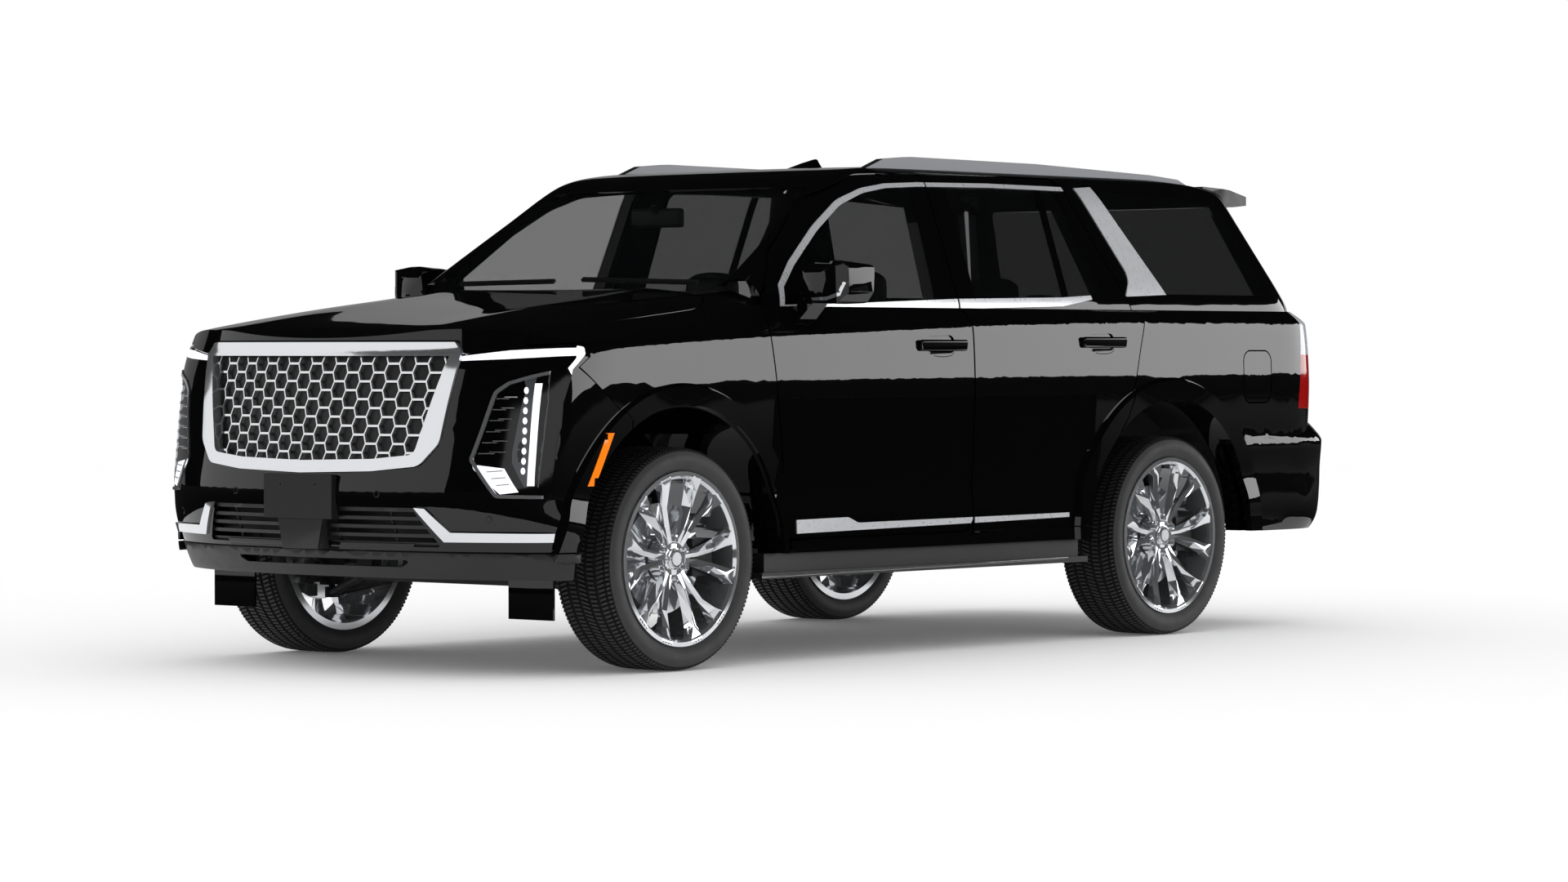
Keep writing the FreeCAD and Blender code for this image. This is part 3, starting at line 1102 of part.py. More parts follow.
def hood_arms(hood):
    for s in (1, -1):
        x = s * HOOD_HINGE_X
        profile = [
            (front(230), 1375), (front(300), 1384), (front(318), 1384), (front(340), 1372), (front(390), 1372),
            (front(430), 1388), (front(445), 1384), (front(446), 1376), (front(436), 1370), (front(400), 1356),
            (front(330), 1352), (front(240), 1350)]
        arm = side_prism(profile, x - 4, x + 4)
        hood = hood.fuse(arm)
        hood = hood.cut(across(HOOD_PIN + PIN_FIT, x - 20, x + 20, HOOD_HINGE_Y, HOOD_HINGE_Z))
    return hood


GATE_HINGE_Y = rear(TAILGATE_SEAM)
GATE_HINGE_Z = 1884.0
GATE_HINGE_X = 420.0
GATE_PIN = 3.0


def gate_hinges(gate, roof):
    for s in (1, -1):
        x = s * GATE_HINGE_X
        eye = across(6, x - 15, x + 15, GATE_HINGE_Y, GATE_HINGE_Z)
        leaf = block(x - 15, x + 15, GATE_HINGE_Y, GATE_HINGE_Y + 20, GATE_HINGE_Z - 5, GATE_HINGE_Z + 2)
        gate = gate.multiFuse([eye, leaf]).cut(across(GATE_PIN + PIN_FIT, x - 20, x + 20, GATE_HINGE_Y, GATE_HINGE_Z))
        roof = roof.cut(across(12, x - 16, x + 16, GATE_HINGE_Y, GATE_HINGE_Z))
        for low in (x - 28, x + 16):
            ear = across(6, low, low + 12, GATE_HINGE_Y, GATE_HINGE_Z)
            tongue = block(low, low + 12, GATE_HINGE_Y - 30, GATE_HINGE_Y, GATE_HINGE_Z - 5, GATE_HINGE_Z + 2)
            roof = roof.multiFuse([ear, tongue])
            gate = gate.cut(across(8, low - 1, low + 13, GATE_HINGE_Y, GATE_HINGE_Z))
        roof = roof.fuse(across(GATE_PIN, x - 26, x + 26, GATE_HINGE_Y, GATE_HINGE_Z))
    return gate, roof


def spoiler():
    profile = [
        (front(3790), 1866), (front(3800), 1882), (front(3950), 1869), (front(4128), 1836), (front(4118), 1808),
        (front(3970), 1796), (front(3900), 1800)]
    plan = both([(0, front(3770)), (640, front(3770)), (690, front(3900), 40), (676, front(4110), 40), (400, front(4131), 300)])
    wing = side_prism(profile, -700, 700).common(plan_prism(plan, 1700, 1900))
    clear = greenhouse(-7.0).common(block(600, FAR, -FAR, FAR, 1700, 2000).fuse(block(-FAR, -600, -FAR, FAR, 1700, 2000)))
    return wing.cut(clear)


def antenna():
    fin = side_prism([
        (front(1785), 1895), (front(1785), 1908), (front(1900), 1944, 60), (front(1972), 1962), (front(1984), 1960, 4),
        (front(1996), 1925), (front(2010), 1895)], -26, 26)
    return fin.common(front_prism(both([(28, 1895), (26, 1912), (7, 1950), (3, 1964)]), front(1700), front(2100)))


def roof_rail():
    profile = [
        (front(1480), 1893), (front(1600), 1936), (front(1772), 1949, 400), (front(2600), 1944, 800),
        (front(3400), 1920), (front(3600), 1906), (front(3724), 1862), (front(3724), 1780), (front(1480), 1780)]
    rail = side_prism(profile, 624, 660)
    return largest(rail.cut(greenhouse()))


def mirror():
    head = side_prism([
        (front(672), 1400, 30), (front(690), 1356, 20), (front(880), 1352, 10), (front(892), 1500, 12),
        (front(760), 1520, 60), (front(690), 1490, 40)], 985, 1192)
    head = head.common(plan_prism([
        (975, front(700), 20), (1060, front(668), 60), (1192, front(720), 60), (1190, front(892)), (975, front(892))],
        1300, 1600))
    head = head.common(front_prism([
        (990, 1390, 20), (1010, 1352, 20), (1160, 1356, 30), (1192, 1400, 30), (1188, 1500, 24), (1100, 1522, 80),
        (1004, 1506, 30)], front(600), front(950)))
    stalk = side_prism([
        (front(690), 1284), (front(790), 1290), (front(800), 1420), (front(720), 1420)], 900, 1040)
    stalk = stalk.common(front_prism([
        (900, 1284), (975, 1284), (1040, 1356), (1040, 1400), (985, 1400), (960, 1346), (900, 1346)],
        front(600), front(950)))
    return largest(head.fuse(stalk).cut(whole_body()))


def seats():
    result = {}
    front_rows = []
    for x in (390, -390):
        y = front(1150)
        foot = block(x - 200, x + 200, y + 60, y + 440, FLOOR_TOP, 620)
        cushion = block(x - 258, x + 258, y, y + 520, 620, 770)
        back = side_prism([(y + 420, 700), (y + 540, 1300, 40), (y + 650, 1300, 40), (y + 570, 700)], x - 255, x + 255)
        rest = block(x - 130, x + 130, y + 580, y + 680, 1330, 1500)
        stem = block(x - 60, x + 60, y + 600, y + 640, 1280, 1340)
        front_rows.append(foot.multiFuse([cushion, back, rest, stem]))
    result["front_seats"] = Part.makeCompound(front_rows)
    rows = []
    for x in (390, -390):
        y = front(2080)
        foot = block(x - 200, x + 200, y + 60, y + 440, FLOOR_TOP, 640)
        cushion = block(x - 262, x + 262, y, y + 500, 640, 780)
        back = side_prism([(y + 410, 700), (y + 510, 1300, 30), (y + 600, 1300, 30), (y + 540, 700)], x - 255, x + 255)
        rest = block(x - 130, x + 130, y + 530, y + 620, 1330, 1480)
        stem = block(x - 60, x + 60, y + 550, y + 590, 1280, 1340)
        rows.append(foot.multiFuse([cushion, back, rest, stem]))
    result["second_row_seats"] = Part.makeCompound(rows)
    y = rear(-80)
    foot = block(-600, 600, y + 60, y + 380, FLOOR_TOP, 680)
    cushion = block(-640, 640, y, y + 460, 680, 800)
    back = side_prism([(y + 380, 740), (y + 460, 1280, 30), (y + 540, 1280, 30), (y + 480, 740)], -640, 640)
    pieces = [cushion, back]
    for x in (-420, 0, 420):
        pieces.append(block(x - 110, x + 110, y + 470, y + 545, 1300, 1420))
        pieces.append(block(x - 50, x + 50, y + 490, y + 530, 1270, 1310))
    result["third_row_seat"] = foot.multiFuse(pieces)
    return result


COLUMN = Vec(390, front(1030), 1130)


def dashboard():
    side = HALF - TRIM_PLANE - 25
    panel = side_prism([
        (BAY_BACK, 900), (BAY_BACK, 1330), (front(700), 1345, 80), (front(860), 1290, 60), (front(880), 1180, 40),
        (front(820), 1000, 60), (front(700), 900)], -side, side)
    lean = Vec(0, 0.9, 0.36)
    lean.normalize()
    column = bar(COLUMN - lean * 260, COLUMN, 26)
    rim = Part.makeTorus(182, 14, COLUMN, lean)
    hub = bar(COLUMN - lean * 20, COLUMN + lean * 14, 52)
    spokes = [bar(COLUMN - Vec(178, 0, 0), COLUMN + Vec(178, 0, 0), 10)]
    console = block(-130, 130, front(640), front(1750), FLOOR_TOP, 860)
    console = console.fuse(block(-130, 130, front(640), front(800), 860, 1010))
    return panel.multiFuse([column, rim, hub, console] + spokes)


def running_board():
    board = block(835, 1000, front(457), front(2500), 322, 345)
    rocker = block(895, 972, front(500), front(2470), 344, SILL_BOTTOM)
    return board.fuse(rocker)


def plate_bracket():
    body = lower_body()
    plate = block(-175, 175, front(-985), front(-900), 566, 727)
    lower = front_prism(both([(90, 455), (117, 572)]), front(-972), front(-900))
    whole = plate.fuse(lower).cut(body)
    for x in (-PLATE_PITCH / 2, PLATE_PITCH / 2):
        hole = Part.makeCylinder(3.0, 200, Vec(x, front(-1000), 690), Vec(0, 1, 0))
        whole = whole.cut(hole)
    return largest(whole)


def with_screw_room(panel):
    # The room that the plate screws need behind their holes.
    for x in (-PLATE_PITCH / 2, PLATE_PITCH / 2):
        panel = panel.cut(Part.makeCylinder(4.0, 300, Vec(x, front(-1000), 690), Vec(0, 1, 0)))
    return panel


def lower_grille():
    layer = lower_body(SKIN).cut(lower_body(SKIN + 16))
    frame = layer.common(front_prism(LOWER_GRILLE, -FAR, front(-600), 10.0))
    gaps = []
    for i in range(4):
        z = 486 + i * 31
        wide = 590 - i * 20
        gaps.append(block(-wide, wide, -FAR, front(-600), z, z + 18))
    for gap in gaps:
        frame = frame.cut(gap)
    for x in (-400, -140, 140, 400):
        frame = frame.fuse(lower_body(SKIN + 8).cut(lower_body(SKIN + 16)).common(
            block(x - 6, x + 6, -FAR, front(-600), 475, 608)))
    return largest(frame)


# Every piece under its name

def pair(shape):
    return Part.makeCompound(shape.Solids + mirrored(shape).Solids)


def every_piece():
    hood, bumper, dam, fender, absorber = nose_panels()
    panels = body_panels()
    gate, roof = gate_hinges(panels["gate"].fuse(spoiler()), panels["roof"])
    pieces = {
        "ladder_frame": ladder_frame(absorber), "hitch_receiver": hitch_receiver(), "drivetrain": drivetrain(),
        "engine_block": block(-260, 260, front(-300), front(400), 620, 1130),
        "exhaust_system": exhaust(), "fuel_tank": fuel_tank(), "front_suspension": front_suspension(),
        "rear_suspension": rear_suspension(),
        "cabin_floor": largest(floor().cut(fender).cut(mirrored(fender))),
        "body_side_left": largest(panels["filler_side"].cut(fender)),
        "body_side_right": mirrored(largest(panels["side"].cut(fender))),
        "roof_panel": roof.fuse(antenna()), "front_fenders": pair(fender), "front_bumper": with_screw_room(bumper),
        "air_dam": dam, "lower_grille": Part.makeCompound([lower_grille(), shutters()]), "grille_surround": grille(),
        "grille_mesh": grille_mesh(), "headlamps": pair(headlamp()), "windscreen": panels["windscreen"],
        "quarter_glass": pair(panels["quarter_glass"]), "rear_bumper": rear_bumper(),
        "tail_lamps": pair(panels["lamp"]), "roof_rails": pair(roof_rail()),
        "running_boards": pair(running_board()), "dashboard": dashboard(), "plate_bracket": plate_bracket(),
        "hood": hood_arms(hood), "tailgate": gate, "tailgate_glass": panels["gate_glass"].common(block(-FAR, FAR, -FAR, FAR, 1000, 1795)),
        "fuel_door": panels["flap"]}
    pieces.update(seats())
    pieces["front_trim"] = Part.makeCompound([
        turn for shape in front_trim() for turn in (shape, mirrored(shape))])
    blade = trim(BLADE).cut(side_prism(REAR_DOOR, 500, FAR, GAP + 2))
    pieces["side_trim"] = pair(largest(blade))
    front_panel = with_handle(panels["front_door"], *FRONT_HANDLE)
    rear_panel = with_handle(panels["rear_door"], *REAR_HANDLE)
    mirror_head = mirror()
    front_door_trim = Part.makeCompound([
        solid for solid in door_trim(FRONT_DOOR).cut(mirror_head).Solids if solid.Volume > 100])
    rear_door_trim = door_trim(REAR_DOOR)
    for side, turn in (("left", lambda shape: shape), ("right", mirrored)):
        pieces["front_door_" + side] = turn(front_panel)
        pieces["rear_door_" + side] = turn(rear_panel)
        pieces["front_door_trim_" + side] = turn(front_door_trim)
        pieces["rear_door_trim_" + side] = turn(rear_door_trim)
        pieces["front_door_glass_" + side] = turn(panels["front_glass"])
        pieces["rear_door_glass_" + side] = turn(panels["rear_glass"])
        pieces["door_mirror_" + side] = turn(mirror_head)
        pieces["knuckle_" + side] = turn(knuckle())
        for end, y in (("front", FRONT_AXLE), ("rear", REAR_AXLE)):
            pieces["wheel_%s_%s" % (end, side)] = turn(wheel(y))
            pieces["tyre_%s_%s" % (end, side)] = turn(tyre(y))
    return pieces


os.makedirs("parts", exist_ok=True)
for name, shape in every_piece().items():
    solids = shape.Solids
    result = solids[0] if len(solids) == 1 else Part.makeCompound(solids)
    result.exportStep("parts/" + name + ".step")
    print(name, len(solids), result.isValid())
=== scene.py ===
# A full-size three-row sport utility vehicle in gloss black, dressed over its CAD frame.
import json
import math

import bmesh
import bpy
import numpy
from mathutils import Matrix, Vector
from mathutils.bvhtree import BVHTree
from mathutils.kdtree import KDTree


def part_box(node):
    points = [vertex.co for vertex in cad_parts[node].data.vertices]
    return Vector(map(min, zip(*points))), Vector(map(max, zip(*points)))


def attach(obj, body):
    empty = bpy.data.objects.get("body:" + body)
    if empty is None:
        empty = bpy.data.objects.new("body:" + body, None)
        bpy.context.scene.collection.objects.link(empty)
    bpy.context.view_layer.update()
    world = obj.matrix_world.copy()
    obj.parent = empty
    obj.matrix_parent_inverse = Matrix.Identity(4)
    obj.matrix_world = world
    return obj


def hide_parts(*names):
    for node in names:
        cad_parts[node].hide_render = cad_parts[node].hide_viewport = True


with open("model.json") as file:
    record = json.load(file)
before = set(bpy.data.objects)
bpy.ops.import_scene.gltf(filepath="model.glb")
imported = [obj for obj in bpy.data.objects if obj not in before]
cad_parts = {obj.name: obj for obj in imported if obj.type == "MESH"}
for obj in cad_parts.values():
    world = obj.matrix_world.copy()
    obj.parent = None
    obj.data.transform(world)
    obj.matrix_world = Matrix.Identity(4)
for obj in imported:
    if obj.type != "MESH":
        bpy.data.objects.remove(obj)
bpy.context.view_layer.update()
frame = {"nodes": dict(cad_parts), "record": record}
nodes = frame["nodes"]
print("frame loaded:", len(nodes), "nodes")

frontAxle = -1.706  # metres along Y
rearAxle = 1.365
hubHeight = 0.412
wheelX = 0.870


def bySide(y):
    # Y of a point measured from the front axle, as the photograph shows the side
    return frontAxle + y


def linear(code):
    # hex colours are sRGB; the shader wants linear light
    values = [int(code[i:i + 2], 16) / 255 for i in (1, 3, 5)]
    return [v / 12.92 if v <= 0.04045 else ((v + 0.055) / 1.055) ** 2.4 for v in values] + [1.0]


def addNode(tree, kind, settings=None, links=None):
    # links: socket of the new node -> (node, its output)
    node = tree.nodes.new(kind)
    for key, value in (settings or {}).items():
        if isinstance(key, str) and hasattr(node, key):
            setattr(node, key, value)
        else:
            node.inputs[key].default_value = value
    for key, (source, output) in (links or {}).items():
        tree.links.new(source.outputs[output], node.inputs[key])
    return node


def surface(name, colour, metallic=0.0, roughness=0.5, coat=0.0, glow=None, alpha=1.0, shine=0.5):
    # one Principled surface; what is the same all over sits on its own socket
    made = bpy.data.materials.new(name)
    made.use_nodes = True
    tree = made.node_tree
    tree.nodes.clear()
    shader = addNode(tree, "ShaderNodeBsdfPrincipled", {
        "Base Color": linear(colour), "Metallic": metallic, "Roughness": roughness, "IOR": 1.5,
        "Coat Weight": coat, "Coat Roughness": 0.015, "Alpha": alpha, "Specular IOR Level": shine})
    if glow:
        shader.inputs["Emission Color"].default_value = linear(glow[0])
        shader.inputs["Emission Strength"].default_value = glow[1]
    addNode(tree, "ShaderNodeOutputMaterial", None, {"Surface": (shader, "BSDF")})
    made.diffuse_color = linear(colour)
    return made


def bumped(made, kind, settings, strength, distance):
    # a fine relief from one texture on Object coordinates
    tree = made.node_tree
    shader = next(n for n in tree.nodes if n.type == "BSDF_PRINCIPLED")
    where = addNode(tree, "ShaderNodeTexCoord")
    texture = addNode(tree, kind, settings, {"Vector": (where, "Object")})
    output = "Fac" if "Fac" in texture.outputs else "Distance"
    bump = addNode(tree, "ShaderNodeBump", {"Strength": strength, "Distance": distance},
                   {"Height": (texture, output)})
    tree.links.new(bump.outputs["Normal"], shader.inputs["Normal"])


# Materials, named for what they are and how their surface was made
materials = {
    # two-stage enamel under a polished clear coat: black until it meets a light
    "paint": surface("clearCoatedBlackEnamel", "#050506", roughness=0.22, coat=1.0, shine=0.0),
    # satin electro-coat on steel, dull and even
    "chassis": surface("electrocoatedSteel", "#141415", roughness=0.55),
    # bright nickel-chrome plate, a clean mirror
    "chrome": surface("chromePlate", "#e3e5e8", metallic=0.90, roughness=0.06),
    # brushed and anodised aluminium, soft wide highlights
    "satin": surface("anodisedAluminium", "#d6d8db", metallic=0.50, roughness=0.28),
    # the same metal left darker, as on the roof rails
    "rails": surface("darkAnodisedAluminium", "#58595c", metallic=0.80, roughness=0.30),
    # moulded polypropylene, dark with a faint sheen
    "plastic": surface("mouldedPolypropylene", "#161617", roughness=0.42),
    # piano-black ABS, as glossy as the paint
    "glossPlastic": surface("pianoBlackAbs", "#040404", roughness=0.08),
    # laminated clear glass with a light grey tint
    "glass": surface("laminatedGlass", "#0d0f10", roughness=0.0, alpha=0.36),
    # privacy glass, almost black
    "privacy": surface("privacyGlass", "#0a0b0c", roughness=0.0, alpha=0.66),
    # clear polycarbonate lens
    "lens": surface("polycarbonateLens", "#e8ebee", roughness=0.02, alpha=0.22),
    # deep red acrylic with a faint painted glow, standing in for the daylight it catches
    "redLens": surface("redAcrylicPaintedGlow", "#8e0d0b", roughness=0.05, glow=("#7a0806", 0.15)),
    # smoked polycarbonate drawn opaque grey: a painted sheen over the dark pod
    "smokedLens": surface("smokedPolycarbonatePaintedSheen", "#3c3f42", roughness=0.12),
    # clear polycarbonate over white reflectors, a pale grey block
    "tailLens": surface("clearPolycarbonate", "#b9bcbf", roughness=0.08),
    # amber acrylic, warm and bright
    "amber": surface("amberAcrylic", "#f07a0a", roughness=0.12, glow=("#e06a00", 0.35)),
    # milky polycarbonate over light diodes, lit
    "lampLight": surface("ledDiffuser", "#e4e6e8", roughness=0.25, glow=("#f4f6ff", 0.55)),
    # vulcanised rubber, dark grey with a dull bloom
    "rubber": surface("curedTyreRubber", "#2b2b2b", roughness=0.62),
    # the same rubber made near-black as painted shade, for the grooves and the walls of the blocks where
    # shade falls
    "groove": surface("grooveRubberPaintedShade", "#060606", roughness=0.85),
    # sand-cast iron, coarse and dark
    "iron": surface("castIron", "#3a3a3b", metallic=1.0, roughness=0.55),
    # rolled and ground steel
    "steel": surface("rolledSteel", "#7d7f82", metallic=1.0, roughness=0.3),
    # pigmented cowhide with a pressed grain
    "leather": surface("grainedLeather", "#161516", roughness=0.48),
    # looped nylon, no highlight at all
    "carpet": surface("loopCarpet", "#0d0d0e", roughness=0.95),
    # die-cast aluminium, a matte silver skin
    "cast": surface("castAluminium", "#7c7e80", metallic=1.0, roughness=0.42),
}


def mottled(made, low, high, scale):
    # roughness that wanders a little, as handled and moulded surfaces do
    tree = made.node_tree
    shader = next(n for n in tree.nodes if n.type == "BSDF_PRINCIPLED")
    where = addNode(tree, "ShaderNodeTexCoord")
    cloud = addNode(tree, "ShaderNodeTexNoise", {"Scale": scale}, {"Vector": (where, "Object")})
    span = addNode(tree, "ShaderNodeMapRange", {"To Min": low, "To Max": high}, {"Value": (cloud, "Fac")})
    tree.links.new(span.outputs["Result"], shader.inputs["Roughness"])


# lowest and highest roughness, patches per metre
wander = {
    "paint": (0.17, 0.24, 3.0), "chassis": (0.48, 0.66, 14.0), "satin": (0.24, 0.33, 40.0),
    "plastic": (0.36, 0.50, 22.0), "rubber": (0.52, 0.74, 18.0), "iron": (0.46, 0.66, 60.0),
    "steel": (0.24, 0.38, 25.0), "leather": (0.40, 0.56, 12.0), "cast": (0.34, 0.50, 50.0),
    "chrome": (0.05, 0.09, 6.0), "glossPlastic": (0.06, 0.11, 8.0)}
for key, (low, high, scale) in wander.items():
    mottled(materials[key], low, high, scale)
# texture, its scale per metre, strength, height in metres
relief = {
    "leather": ("ShaderNodeTexVoronoi", 420.0, 0.25, 0.0006),  # 2.4 mm grain
    "iron": ("ShaderNodeTexNoise", 500.0, 0.35, 0.0006),  # 2 mm marks of the sand
    "cast": ("ShaderNodeTexNoise", 700.0, 0.15, 0.0004),  # 1.4 mm flow marks
    "rubber": ("ShaderNodeTexNoise", 1100.0, 0.10, 0.0003),  # 0.9 mm mould texture
    "carpet": ("ShaderNodeTexNoise", 300.0, 0.6, 0.002),  # 3 mm loops
    "plastic": ("ShaderNodeTexNoise", 900.0, 0.08, 0.0004)}  # 1 mm spark grain
for key, (kind, scale, strength, height) in relief.items():
    bumped(materials[key], kind, {"Scale": scale}, strength, height)

slotMaterial = {
    "paint": "paint", "chassis_black": "chassis", "chrome": "chrome", "satin_aluminium": "satin",
    "black_plastic": "plastic", "glass": "glass", "dark_glass": "privacy", "lamp": "lens",
    "red_lamp": "redLens", "tyre": "rubber", "cast_iron": "iron", "steel": "steel", "leather": "leather",
    "carpet": "carpet", "aluminium_case": "cast"}
slotOf = {s["node"]: s["material_slot"] for s in frame["record"]["subparts"]}
bodyOf = {n: b for b, members in frame["record"]["behaviour"]["bodies"].items() for n in members}


def meshObject(name, bm, material, body, smooth=35.0):
    mesh = bpy.data.meshes.new(name)
    bm.to_mesh(mesh)
    bm.free()
    for polygon in mesh.polygons:
        polygon.use_smooth = True
    mesh.set_sharp_from_angle(angle=math.radians(smooth))
    made = bpy.data.objects.new(name, mesh)
    bpy.context.scene.collection.objects.link(made)
    mesh.materials.append(materials[material])
    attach(made, body)
    return made


even = {
    "spacing": 0.3,  # between sample points, as a share of the reach
    "most": 400,  # samples on one triangle
    "spread": 25.0,  # degrees to either side that count as the same face
    "sliver": 8e-6,  # square metres: a smaller face may follow what lies around it
    "outvoted": 0.3,  # it does when less than this share of the skin around it goes its way
}


def evenNormals(mesh, reach):
    # each corner takes the mean direction of the skin around it, so that
    # long thin triangles leave no kinks in the gloss
    mesh.calc_loop_triangles()
    places = []
    ways = []
    weights = []
    for triangle in mesh.loop_triangles:
        count = min(even["most"], 1 + int(triangle.area / (even["spacing"] * reach) ** 2))
        first, second, third = (mesh.vertices[i].co for i in triangle.vertices)
        for k in range(count):
            u = (k + 0.5) / count
            v = (k * 0.618034 + 0.3) % 1.0  # steps of the golden section spread them evenly
            if u + v > 1.0:
                u, v = 1.0 - u, 1.0 - v
            places.append(first + (second - first) * u + (third - first) * v)
            ways.append(triangle.normal[:])
            weights.append(triangle.area / count)
    tree = KDTree(len(places))
    for index, place in enumerate(places):
        tree.insert(place, index)
    tree.balance()
    ways = numpy.array(ways)
    weights = numpy.array(weights)
    limit = math.cos(math.radians(even["spread"]))
    around = {}
    corners = [None] * len(mesh.loops)
    for polygon in mesh.polygons:
        facing = numpy.array(polygon.normal[:])
        for loop in polygon.loop_indices:
            vertex = mesh.loops[loop].vertex_index
            if vertex not in around:
                near = tree.find_range(mesh.vertices[vertex].co, reach)
                picked = numpy.array([n[1] for n in near], dtype=int)
                fade = numpy.array([1.05 - (n[2] / reach) ** 2 for n in near])  # far samples count less
                around[vertex] = (ways[picked], weights[picked] * fade) if near else None
            if around[vertex] is None:
                corners[loop] = polygon.normal[:]
                continue
            near, load = around[vertex]
            alike = load * (near @ facing > limit)
            ahead = load * (near @ facing > 0.0)
            if polygon.area < even["sliver"] and alike.sum() < even["outvoted"] * ahead.sum():
                alike = ahead
            total = (near * alike[:, None]).sum(axis=0)
            size = numpy.linalg.norm(total)
            corners[loop] = tuple(total / size) if size > 1e-9 else polygon.normal[:]
    mesh.normals_split_custom_set(corners)


def merged(node):
    # a CAD solid's mesh with its loose triangles joined
    bm = bmesh.new()
    bm.from_mesh(nodes[node].data)
    bmesh.ops.remove_doubles(bm, verts=bm.verts, dist=0.00002)
    return bm


def dressed(node, material=None, smooth=28.0, weighted=True, reach=0.0, proud=0.0):
    # a merged copy of a CAD solid that shades smoothly and stands for it
    bm = merged(node)
    if proud:
        bm.normal_update()
        for vert in bm.verts:
            vert.co += vert.normal * proud
    slotName = slotOf[node]
    made = meshObject(node + "Skin", bm, material or slotMaterial[slotName], bodyOf[node], smooth)
    if reach:
        evenNormals(made.data, reach)
    elif weighted:
        finish = made.modifiers.new("broadFacesLead", "WEIGHTED_NORMAL")
        finish.keep_sharp = True
        finish.weight = 90
    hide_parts(node)
    return made


tyreNodes = [n for n in nodes if n.startswith("tyre_")]
madeLater = tyreNodes + ["front_seats", "second_row_seats", "third_row_seat", "headlamps", "tail_lamps"]
panelStarts = ("body_side", "front_door_l", "front_door_r", "rear_door_l", "rear_door_r", "hood", "front_f",
               "front_b", "rear_b", "tailgate", "roof_p")
# how far around a corner its direction is evened out, and how far a trim stands off its panel, in metres
skins = {"panel": 0.035, "mirror": 0.030, "rail": 0.020, "trim": 0.012, "trimProud": 0.0007}
spoiler = {"above": 1.80, "behind": bySide(3.86)}
for node in sorted(nodes):
    if node in madeLater:
        continue
    if node.startswith("wheel_"):
        rimSkin = dressed(node, smooth=24.0, weighted=False)
        edge = rimSkin.modifiers.new("edge", "BEVEL")
        edge.width = 0.0012
        edge.segments = 2
        edge.limit_method = "ANGLE"
        edge.angle_limit = math.radians(32)
    elif node == "roof_rails":
        dressed(node, "rails", reach=skins["rail"])
    elif "mirror" in node:
        dressed(node, reach=skins["mirror"])
    elif "trim" in node or node in ("grille_surround", "running_boards"):
        dressed(node, reach=skins["trim"], proud=skins["trimProud"] if "trim" in node else 0.0)
    elif node.startswith(panelStarts):
        panel = dressed(node, reach=skins["panel"])
        if node == "tailgate":
            # the upper edge under the spoiler is left in black resin
            panel.data.materials.append(materials["plastic"])
            for polygon in panel.data.polygons:
                if polygon.center.z > spoiler["above"] and polygon.center.y > spoiler["behind"]:
                    polygon.material_index = 1
    else:
        dressed(node)
print("CAD solids dressed")


def skinTree(names):
    # one ray-castable skin from several CAD solids
    bm = bmesh.new()
    for name in names:
        bm.from_mesh(nodes[name].data)
    tree = BVHTree.FromBMesh(bm)
    bm.free()
    return tree


frontSkin = skinTree(["front_bumper", "headlamps", "grille_surround", "air_dam", "front_fenders",
                      "lower_grille"])
leftSkin = skinTree(["front_bumper", "front_fenders", "front_door_left", "rear_door_left", "body_side_left",
                     "rear_bumper", "front_door_glass_left", "rear_door_glass_left", "quarter_glass",
                     "headlamps", "tail_lamps"])
rearSkin = skinTree(["rear_bumper", "tailgate", "tail_lamps", "body_side_left", "tailgate_glass"])
mirrorSkin = skinTree(["door_mirror_left"])
# each skin and the way its rays go
rays = {
    "front": (frontSkin, Vector((0, 1, 0))),
    "left": (leftSkin, Vector((-1, 0, 0))),
    "rear": (rearSkin, Vector((0, -1, 0))),
    "mirror": (mirrorSkin, Vector((0, 1, 0))),
    "mirrorBack": (mirrorSkin, Vector((0, -1, 0))),
    "screen": (skinTree(["windscreen"]), Vector((0, 1, 0))),
}


def onSkin(face, u, w):
    # left takes (y, z), the others (x, z); gives the point of the skin and its outward normal
    tree, way = rays[face]
    start = Vector((3.0, u, w)) if face == "left" else Vector((u, -4.0 * way.y, w))
    place, normal, index, distance = tree.ray_cast(start, way)
    if place is None:
        raise ValueError("no skin at " + face + " " + str((u, w)))
    return place, (normal if normal.dot(way) < 0 else -normal)


def sliced(bm, spot, axis):
    # a cut straight through at spot, square to an axis
    across = Vector((0, 0, 0))
    across[axis] = 1.0
    everything = bm.verts[:] + bm.edges[:] + bm.faces[:]
    bmesh.ops.bisect_plane(bm, geom=everything, plane_co=spot, plane_no=across)


def inlay(name, face, outline, material, body, proud=0.0015, depth=0.004, cell=0.03, both=True,
          bevel=0.0):
    # a thin piece cut to an outline that lies on the skin like a lens
    bm = bmesh.new()
    flat = [Vector((0.0, u, w)) if face == "left" else Vector((u, 0.0, w)) for u, w in outline]
    bm.faces.new([bm.verts.new(p) for p in flat])
    low = [min(p[i] for p in flat) for i in range(3)]
    high = [max(p[i] for p in flat) for i in range(3)]
    for axis in ((1, 2) if face == "left" else (0, 2)):
        count = max(1, int((high[axis] - low[axis]) / cell))
        for k in range(1, count):
            spot = Vector(low)
            spot[axis] += (high[axis] - low[axis]) * k / count
            sliced(bm, spot, axis)
    bmesh.ops.triangulate(bm, faces=bm.faces[:])
    way = rays[face][1]
    for vert in bm.verts:
        place, normal = onSkin(face, vert.co.y if face == "left" else vert.co.x, vert.co.z)
        vert.co = place - way * proud
    bmesh.ops.recalc_face_normals(bm, faces=bm.faces[:])
    if sum((f.normal.dot(way) for f in bm.faces)) > 0:
        bmesh.ops.reverse_faces(bm, faces=bm.faces[:])
    bmesh.ops.solidify(bm, geom=bm.faces[:], thickness=depth)
    return placed(name, bm, material, body, both, bevel)


